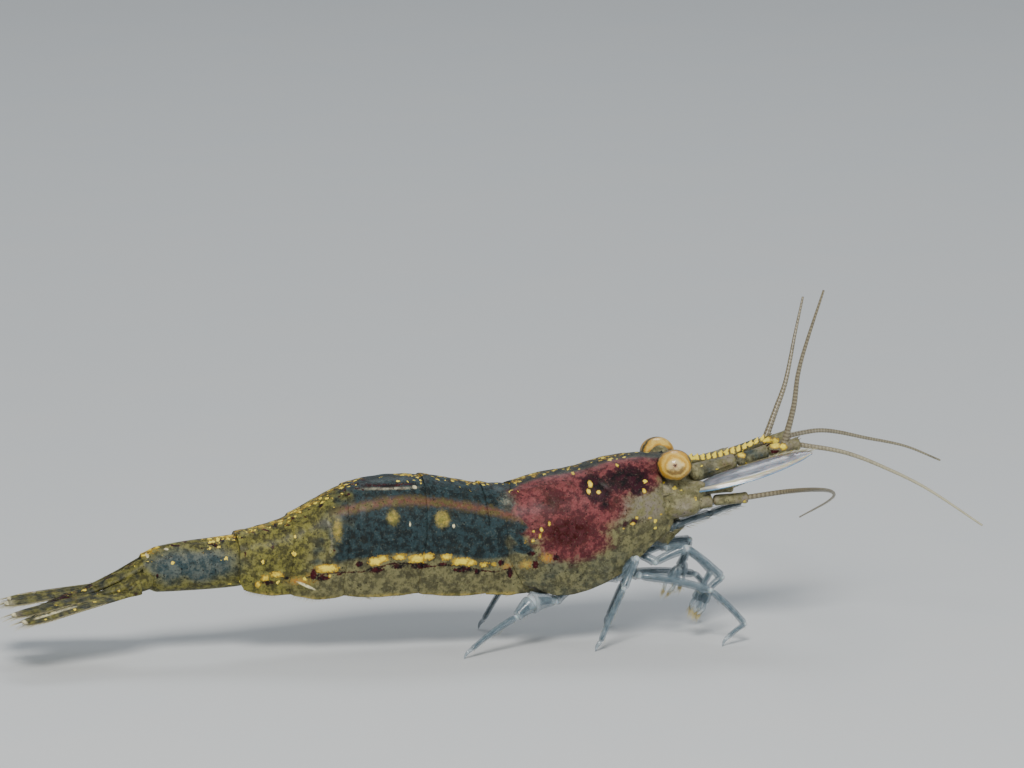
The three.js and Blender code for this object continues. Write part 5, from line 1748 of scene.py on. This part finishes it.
def leaf(stops, half_thick):
    """A thin leaf through stops (x, y, z, half width), pointed at its tip."""
    share, path, ways = along(stops, LEAF_RINGS)
    wide = np.clip(path[:, 3], 0.01, None) * np.sqrt(np.clip(1 - share**6, 0.02, 1))
    skin = loft(tube(path[:, :3], ways, wide, half_thick * (1 - 0.5 * share), around=24), joint=0.2)
    return skin, share, path, ways


def leaf_fringe(share, path, ways, side, number, width):
    """Hairs along both edges of a leaf, pointing out and on."""
    at = np.repeat(np.arange(8, LEAF_RINGS), 2)
    margin = np.tile([-1.0, 1.0], LEAF_RINGS - 8)
    side_way, _ = across(ways[at], (0, 0, 1))
    roots = path[at, :3] + side_way * (margin * path[at, 3] * 0.95)[:, None]
    out = unit(ways[at] + 0.7 * side_way * margin[:, None])
    u = (number - 1 + share[at] * 0.9) / 5
    v = 0.5 + 0.2 * side + 0.1 * margin
    return hairs(roots, out, 0.28, width, (0, 0, -0.2), u, v, steps=4)


class SHRIMP_OT_swimmerets(bpy.types.Operator):
    """Five pairs of two-branched swimming legs folded under the belly, with fringes"""

    bl_idname = "shrimp.swimmerets"
    bl_label = "Swimming legs"

    def execute(self, context):
        width = 0.6 * context.scene.shrimp_sizes.hair / MM
        fringe = []
        for number, x in enumerate(SWIMMERET_ROOTS, 1):
            belly = measure(ABDOMEN_FORM, "belly", x)
            for name, side in SIDES:
                root = (x - 0.35, side * 0.46, belly - 0.02)
                elbow = (x + 0.05, side * 0.5, belly - 0.5)
                skins = [segment(root, elbow, (0.2, 0.17)), knuckle(elbow, 0.14)]
                for spread, drop in ((0.1, 0.0), (-0.12, 0.14)):
                    stops = (
                        (x, side * 0.5, belly - 0.5 - drop * 0.3, 0.08),
                        (x + 0.35, side * (0.5 + spread), belly - 0.66 - drop, 0.2),
                        (x + 0.8, side * (0.5 + 1.2 * spread), belly - 0.84 - drop, 0.2),
                        (x + 1.2, side * (0.5 + spread), belly - 1.0 - drop, 0.05),
                    )
                    skin, *line = leaf(stops, 0.05)
                    skins.append(skin)
                    fringe.append(leaf_fringe(*line, side, number, width))
                node = f"swimmeret_{number}_{name}"
                make_piece(f"paddle_{node}", skins, finish(context, "limb"), "limbs", node)
        make_piece("swimmeret_fringe", fringe, finish(context, "setae"), "limbs")
        return {"FINISHED"}


# ---- feelers, antennae and scales
# Each line runs from its root to its tip: x, y, z.
ANTENNULE = {
    "right": ((8.3, -0.5, 6.08), (10.1, -0.54, 6.52), (11.3, -0.58, 6.84), (12.5, -0.6, 7.1)),
    "left": ((8.3, 0.5, 6.08), (10.1, 0.54, 6.55), (11.3, 0.58, 6.9), (12.4, 0.6, 7.16)),
}
RAISED_FEELER = {
    "right": (
        (11.9, -0.6, 7.0), (12.23, -0.8, 8.5), (12.33, -1.0, 9.72), (12.55, -1.2, 10.8), (13.13, -1.6, 12.95),
    ),
    "left": (
        (11.5, 0.62, 7.0), (12.05, 1.0, 8.15), (12.5, 1.4, 9.05), (13.05, 2.1, 10.75), (13.5, 2.7, 12.0),
    ),
}
FORWARD_FEELER = {
    "right": (
        (12.3, -0.6, 7.08), (14.2, -0.9, 6.72), (15.85, -1.3, 6.05), (17.2, -1.5, 5.33), (19.2, -1.85, 3.95),
    ),
    "left": ((12.2, 0.6, 7.14), (13.83, 1.1, 7.22), (15.82, 1.9, 6.7), (17.5, 2.6, 6.2), (19.0, 3.2, 5.5)),
}
WHIP = {
    "right": (
        (10.3, -1.12, 5.24), (11.7, -2.1, 5.6), (12.2, -4.6, 6.1),
        (11.7, -8.4, 6.7), (10.4, -12.4, 7.2), (8.4, -16.0, 7.4),
    ),
    "left": (
        (10.3, 1.12, 5.24), (12.0, 2.3, 5.5), (13.2, 5.2, 5.4),
        (13.4, 9.0, 4.9), (12.5, 12.9, 4.2), (10.9, 16.4, 3.4),
    ),
}
ANTENNA_BASE = ((8.3, 0.98, 5.1, 0.33), (9.1, 1.05, 5.18, 0.24), (10.45, 1.12, 5.25, 0.2))
ANTENNA_SCALE = (  # along, across, up, half width
    (8.3, 1.06, 5.56, 0.12), (8.7, 1.11, 5.7, 0.3), (9.1, 1.16, 5.83, 0.44), (9.7, 1.21, 6.0, 0.53),
    (10.6, 1.28, 6.24, 0.56), (11.7, 1.34, 6.56, 0.45), (12.4, 1.4, 6.77, 0.27),
    (12.78, 1.42, 6.87, 0.05),
)
SCALE_POSE = {"right": (0.38, 0.0, 0.0), "left": (-0.75, 0.2, 0.06)}  # tilt, outwards, up


def ringed_feeler(stops, root, tip, ring, reference, bright=0.0):
    """A thread of short rings: each swells a little towards its far end, as a sine of its share."""
    lengths = np.linalg.norm(np.diff(np.array(stops), axis=0), axis=1).sum()
    rings = int(lengths / ring)
    share, path, ways = along(stops, rings * 5 + 1)
    cycle = (share * rings) % 1
    swell = 1 + 0.1 * np.sin(np.pi * cycle)
    reach = (root + (tip - root) * share**0.8) * swell
    bead = np.sin(np.pi * cycle) ** 2
    # Painted light: the feeler is lightened with milk along its length, most towards its tip, by the share
    # given.
    painted_light_share = np.clip(bright * share * 1.3, 0, 0.9)
    return loft(tube(path, ways, reach, reach, reference, 9), ring=bead[:, None], bright=painted_light_share[:, None])


def peduncle(stops, thick):
    """An antennule's stem: three segments, each flared over the next, with a row of small spines."""
    skins = []
    for order, (a, b) in enumerate(pairwise(np.array(stops))):
        way = unit(b - a)
        girth = thick[order : order + 2]
        skins.append(segment(a, b + 0.04 * way, girth, around=26))
        side, up = across(way, (0, 0, 1))
        for turn in np.linspace(0.2, np.pi - 0.2, 5):
            out = side * np.cos(turn) + up * np.sin(turn)
            root = b - 0.05 * way + out * girth[1] * 0.95
            skins.append(spike(root, root + 0.16 * way + 0.03 * out, 0.022, 5, 6))
    return skins


def stem_marks(points):
    """Grey-brown flesh with gold on the top of each joint and a wine spot near the end."""
    x, z = points[:, 0], points[:, 2]
    golds = ((10.28, 6.76, 0.14, 0.1), (11.55, 7.08, 0.2, 0.12), (11.85, 7.02, 0.14, 0.13))
    marks = head_marks(points)
    marks["slate"] = 0.42 + 0.2 * ripple(points, 0.9, 31)
    marks["band"] = 0.6 * blotches(x, z, ((9.7, 6.45, 0.4, 0.2), (11.9, 7.0, 0.4, 0.2)), 0.3)
    marks["gold"] = blotches(x, z, golds, 0.14)
    marks["wine"] = 0.9 * blotches(x, z, ((11.5, 6.86, 0.18, 0.1),), 0.14)
    marks["sprinkle"] = np.full(len(x), 0.05)
    return marks


def scale_blade(side, tilt, out, up, thick):
    """An antennal scale: a long oval leaf, thickest in a rib near its outer edge that ends in a spine."""
    stops = [(x, side * (y + out), z + up, half) for x, y, z, half in ANTENNA_SCALE]
    share, path, ways = along(stops, 150)
    side_way, up_way = across(ways, (0, 0, 1))
    turn_side = side_way * np.cos(tilt) + up_way * np.sin(tilt)
    turn_up = up_way * np.cos(tilt) - side_way * np.sin(tilt)
    angle = turns(64)
    reach, rise = np.cos(angle), np.sin(angle)
    rib = bump_at(reach, 0.74 * side, 0.16)
    lens = np.sqrt(np.abs(rise)) * np.sign(rise)
    half = np.clip(path[:, 3], 0.03, None)
    deep = thick * lens * (1 + 1.6 * rib) * (1 - 0.55 * share)[:, None]
    vault = 0.16 * half[:, None] * (1 - reach**2)
    rings = path[:, None, :3] + turn_side[:, None] * (half[:, None] * reach)[..., None]
    rings = rings + turn_up[:, None] * (deep + vault)[..., None]
    rim = step(0.93, 1.0, reach * side) * np.ones_like(half)[:, None]
    skin = loft(rings, rib=rib, rim=0.8 * rim)
    lines = {"share": share, "path": path[:, :3], "ways": ways, "side": turn_side, "half": half}
    return skin, lines


class SHRIMP_OT_antennae(bpy.types.Operator):
    """The stems, feelers, whips and scales of both pairs of antennae"""

    bl_idname = "shrimp.antennae"
    bl_label = "Antennae"

    def execute(self, context):
        sizes = context.scene.shrimp_sizes
        flesh = finish(context, "stem")
        threads = finish(context, "feeler")
        ring = sizes.feeler_ring / MM
        root = sizes.feeler_root / MM
        fringe = []
        for order, (name, side) in enumerate(SIDES):
            skins = peduncle(ANTENNULE[name], (0.42, 0.28, 0.25, 0.23))
            skins.append(spike((8.6, side * 0.74, 6.1), (9.9, side * 0.9, 6.5), 0.1))
            skins = [marked(skin, stem_marks) for skin in skins]
            node = f"antennule_{name}"
            make_piece(f"stem_{node}", skins, flesh, "soft_body", node)
            # Painted light: the near, right feeler is lightened far more than the far, left one.
            bright = 1.0 if name == "right" else 0.15
            upward = ringed_feeler(RAISED_FEELER[name], root, 0.04, ring, (0, 1, 0))
            forward = ringed_feeler(FORWARD_FEELER[name], 0.75 * root, 0.035, ring, (0, 0, 1), bright)
            whip = ringed_feeler(WHIP[name], 0.1, 0.025, ring * 1.2, (0, 0, 1))
            lines = {
                f"antennule_feeler_raised_{name}": upward,
                f"antennule_feeler_forward_{name}": forward,
                f"antenna_whip_{name}": whip,
            }
            for node, line in lines.items():
                make_piece(f"thread_{node}", [line], threads, "feelers", node)
            stops = [(x, side * y, z, thick) for x, y, z, thick in ANTENNA_BASE]
            skins = [segment(a[:3], b[:3], (a[3], b[3]), around=26) for a, b in pairwise(stops)]
            skins = [marked(skin, head_marks) for skin in skins]
            node = f"antenna_{name}"
            make_piece(f"stem_{node}", skins, flesh, "soft_body", node)
            skin, line = scale_blade(side, *SCALE_POSE[name], sizes.blade / MM)
            node = f"antenna_scale_{name}"
            make_piece(f"blade_{node}", [skin], finish(context, "scale"), "antennal_scales", node)
            fringe.append(scale_fringe(sizes, side, line, order))
        make_piece("scale_fringe", fringe, finish(context, "setae"), "antennal_scales")
        return {"FINISHED"}


def scale_fringe(sizes, side, line, order):
    """Hairs along the inner edge and round the tip of an antennal scale."""
    rng = np.random.default_rng(80 + order)
    at = np.linspace(40, 147, 120).astype(int)
    half = line["half"][at]
    out = -side * line["side"][at]  # towards the midline
    roots = line["path"][at] + out * (half * 0.96)[:, None]
    share = line["share"][at]
    lean = out * (0.8 - 0.5 * share)[:, None] + line["ways"][at] * 0.9
    ways = unit(lean + rng.normal(0, 0.04, roots.shape))
    lengths = sizes.fringe / MM * 0.8 * rng.uniform(0.8, 1.05, len(at))
    v = np.full(len(at), 0.25 + 0.5 * order)
    return hairs(roots, ways, lengths, 0.8 * sizes.hair / MM, (0, 0, -0.05), share * 0.9, v)


# ---- stage
TARGET = (1.768, 0.0, 9.636)  # the point that the camera looks at
TO_CAMERA = (-0.2215, -0.9596, 0.1736)  # which way the camera lies from there
CAMERA_DISTANCE = 300.0
FRAME_WIDTH = 37.5  # what the camera takes in at that distance
SENSOR = 36.0
FLOOR_HALF = 4.0  # metres
LIGHTS = (  # name, place from the animal, size, power in milliwatts, colour
    ("key", (-50.0, -170.0, 170.0), 80.0, 560.0, (1.0, 0.97, 0.92)),
    ("fill", (170.0, -150.0, 60.0), 120.0, 120.0, (0.88, 0.94, 1.0)),
    ("rim", (40.0, 150.0, 190.0), 90.0, 110.0, (0.95, 0.98, 1.0)),
)


class SHRIMP_OT_stage(bpy.types.Operator):
    """The pale floor, three soft lights, a pale world and the camera"""

    bl_idname = "shrimp.stage"
    bl_label = "Stage"

    def execute(self, context):
        scene = context.scene
        mesh = bpy.data.meshes.new("floor")
        corners = [(x * FLOOR_HALF, y * FLOOR_HALF, 0) for x, y in ((-1, -1), (1, -1), (1, 1), (-1, 1))]
        mesh.from_pydata(corners, [], [(0, 1, 2, 3)])
        mesh.materials.append(finish(context, "board")[0])
        floor = bpy.data.objects.new("floor", mesh)
        scene.collection.objects.link(floor)
        target = placed(TARGET)
        for name, place, size, power, colour in LIGHTS:
            lamp = bpy.data.lights.new(name, "AREA")
            lamp.shape = "DISK"
            lamp.size = size * MM
            lamp.energy = power * MM
            lamp.color = colour
            light = bpy.data.objects.new(name, lamp)
            scene.collection.objects.link(light)
            point(light, placed(place), placed((0.0, 0.0, 4.0)))
        world = bpy.data.worlds.new("pale room")
        world.use_nodes = True
        background = world.node_tree.nodes["Background"]
        background.inputs["Color"].default_value = (0.80, 0.87, 0.95, 1.0)
        background.inputs["Strength"].default_value = 0.36
        scene.world = world
        lens = bpy.data.cameras.new("camera")
        lens.sensor_width = SENSOR
        lens.lens = SENSOR * CAMERA_DISTANCE / FRAME_WIDTH
        lens.clip_start = MM
        camera = bpy.data.objects.new("camera", lens)
        scene.collection.objects.link(camera)
        point(camera, target + unit(np.array(TO_CAMERA)) * CAMERA_DISTANCE * MM, target)
        scene.camera = camera
        return {"FINISHED"}


def point(thing, place, target):
    """Puts a lamp or camera at a place, looking at a target and upright."""
    thing.location = Vector(place)
    thing.rotation_euler = (Vector(target) - Vector(place)).to_track_quat("-Z", "Y").to_euler()


# ---- panel and registration
OPERATORS = (
    SHRIMP_OT_stage,
    SHRIMP_OT_carapace,
    SHRIMP_OT_abdomen,
    SHRIMP_OT_tail,
    SHRIMP_OT_soft_body,
    SHRIMP_OT_eyes,
    SHRIMP_OT_antennae,
    SHRIMP_OT_mouth_limbs,
    SHRIMP_OT_claw_legs,
    SHRIMP_OT_walking_legs,
    SHRIMP_OT_swimmerets,
)


class SHRIMP_PT_panel(bpy.types.Panel):
    """The steps that build the shrimp, and what can be changed"""

    bl_label = "Dwarf Shrimp"
    bl_idname = "SHRIMP_PT_panel"
    bl_space_type = "VIEW_3D"
    bl_region_type = "UI"
    bl_category = "Shrimp"

    def draw(self, context):
        for operator in OPERATORS:
            self.layout.operator(operator.bl_idname)
        for group in (context.scene.shrimp_sizes, context.scene.shrimp_colours):
            for name in type(group).__annotations__:
                self.layout.prop(group, name)


CLASSES = (ShrimpColours, ShrimpSizes, *OPERATORS, SHRIMP_PT_panel)


def register():
    """Adds the classes and the two groups of settings to Blender."""
    for cls in CLASSES:
        bpy.utils.register_class(cls)
    bpy.types.Scene.shrimp_colours = bpy.props.PointerProperty(type=ShrimpColours)
    bpy.types.Scene.shrimp_sizes = bpy.props.PointerProperty(type=ShrimpSizes)


def unregister():
    """Takes them out again."""
    del bpy.types.Scene.shrimp_sizes
    del bpy.types.Scene.shrimp_colours
    for cls in reversed(CLASSES):
        bpy.utils.unregister_class(cls)


def main():
    """Registers the classes and runs the operators in order."""
    register()
    for operator in OPERATORS:
        group, name = operator.bl_idname.split(".")
        getattr(getattr(bpy.ops, group), name)()


if __name__ == "__main__":
    main()
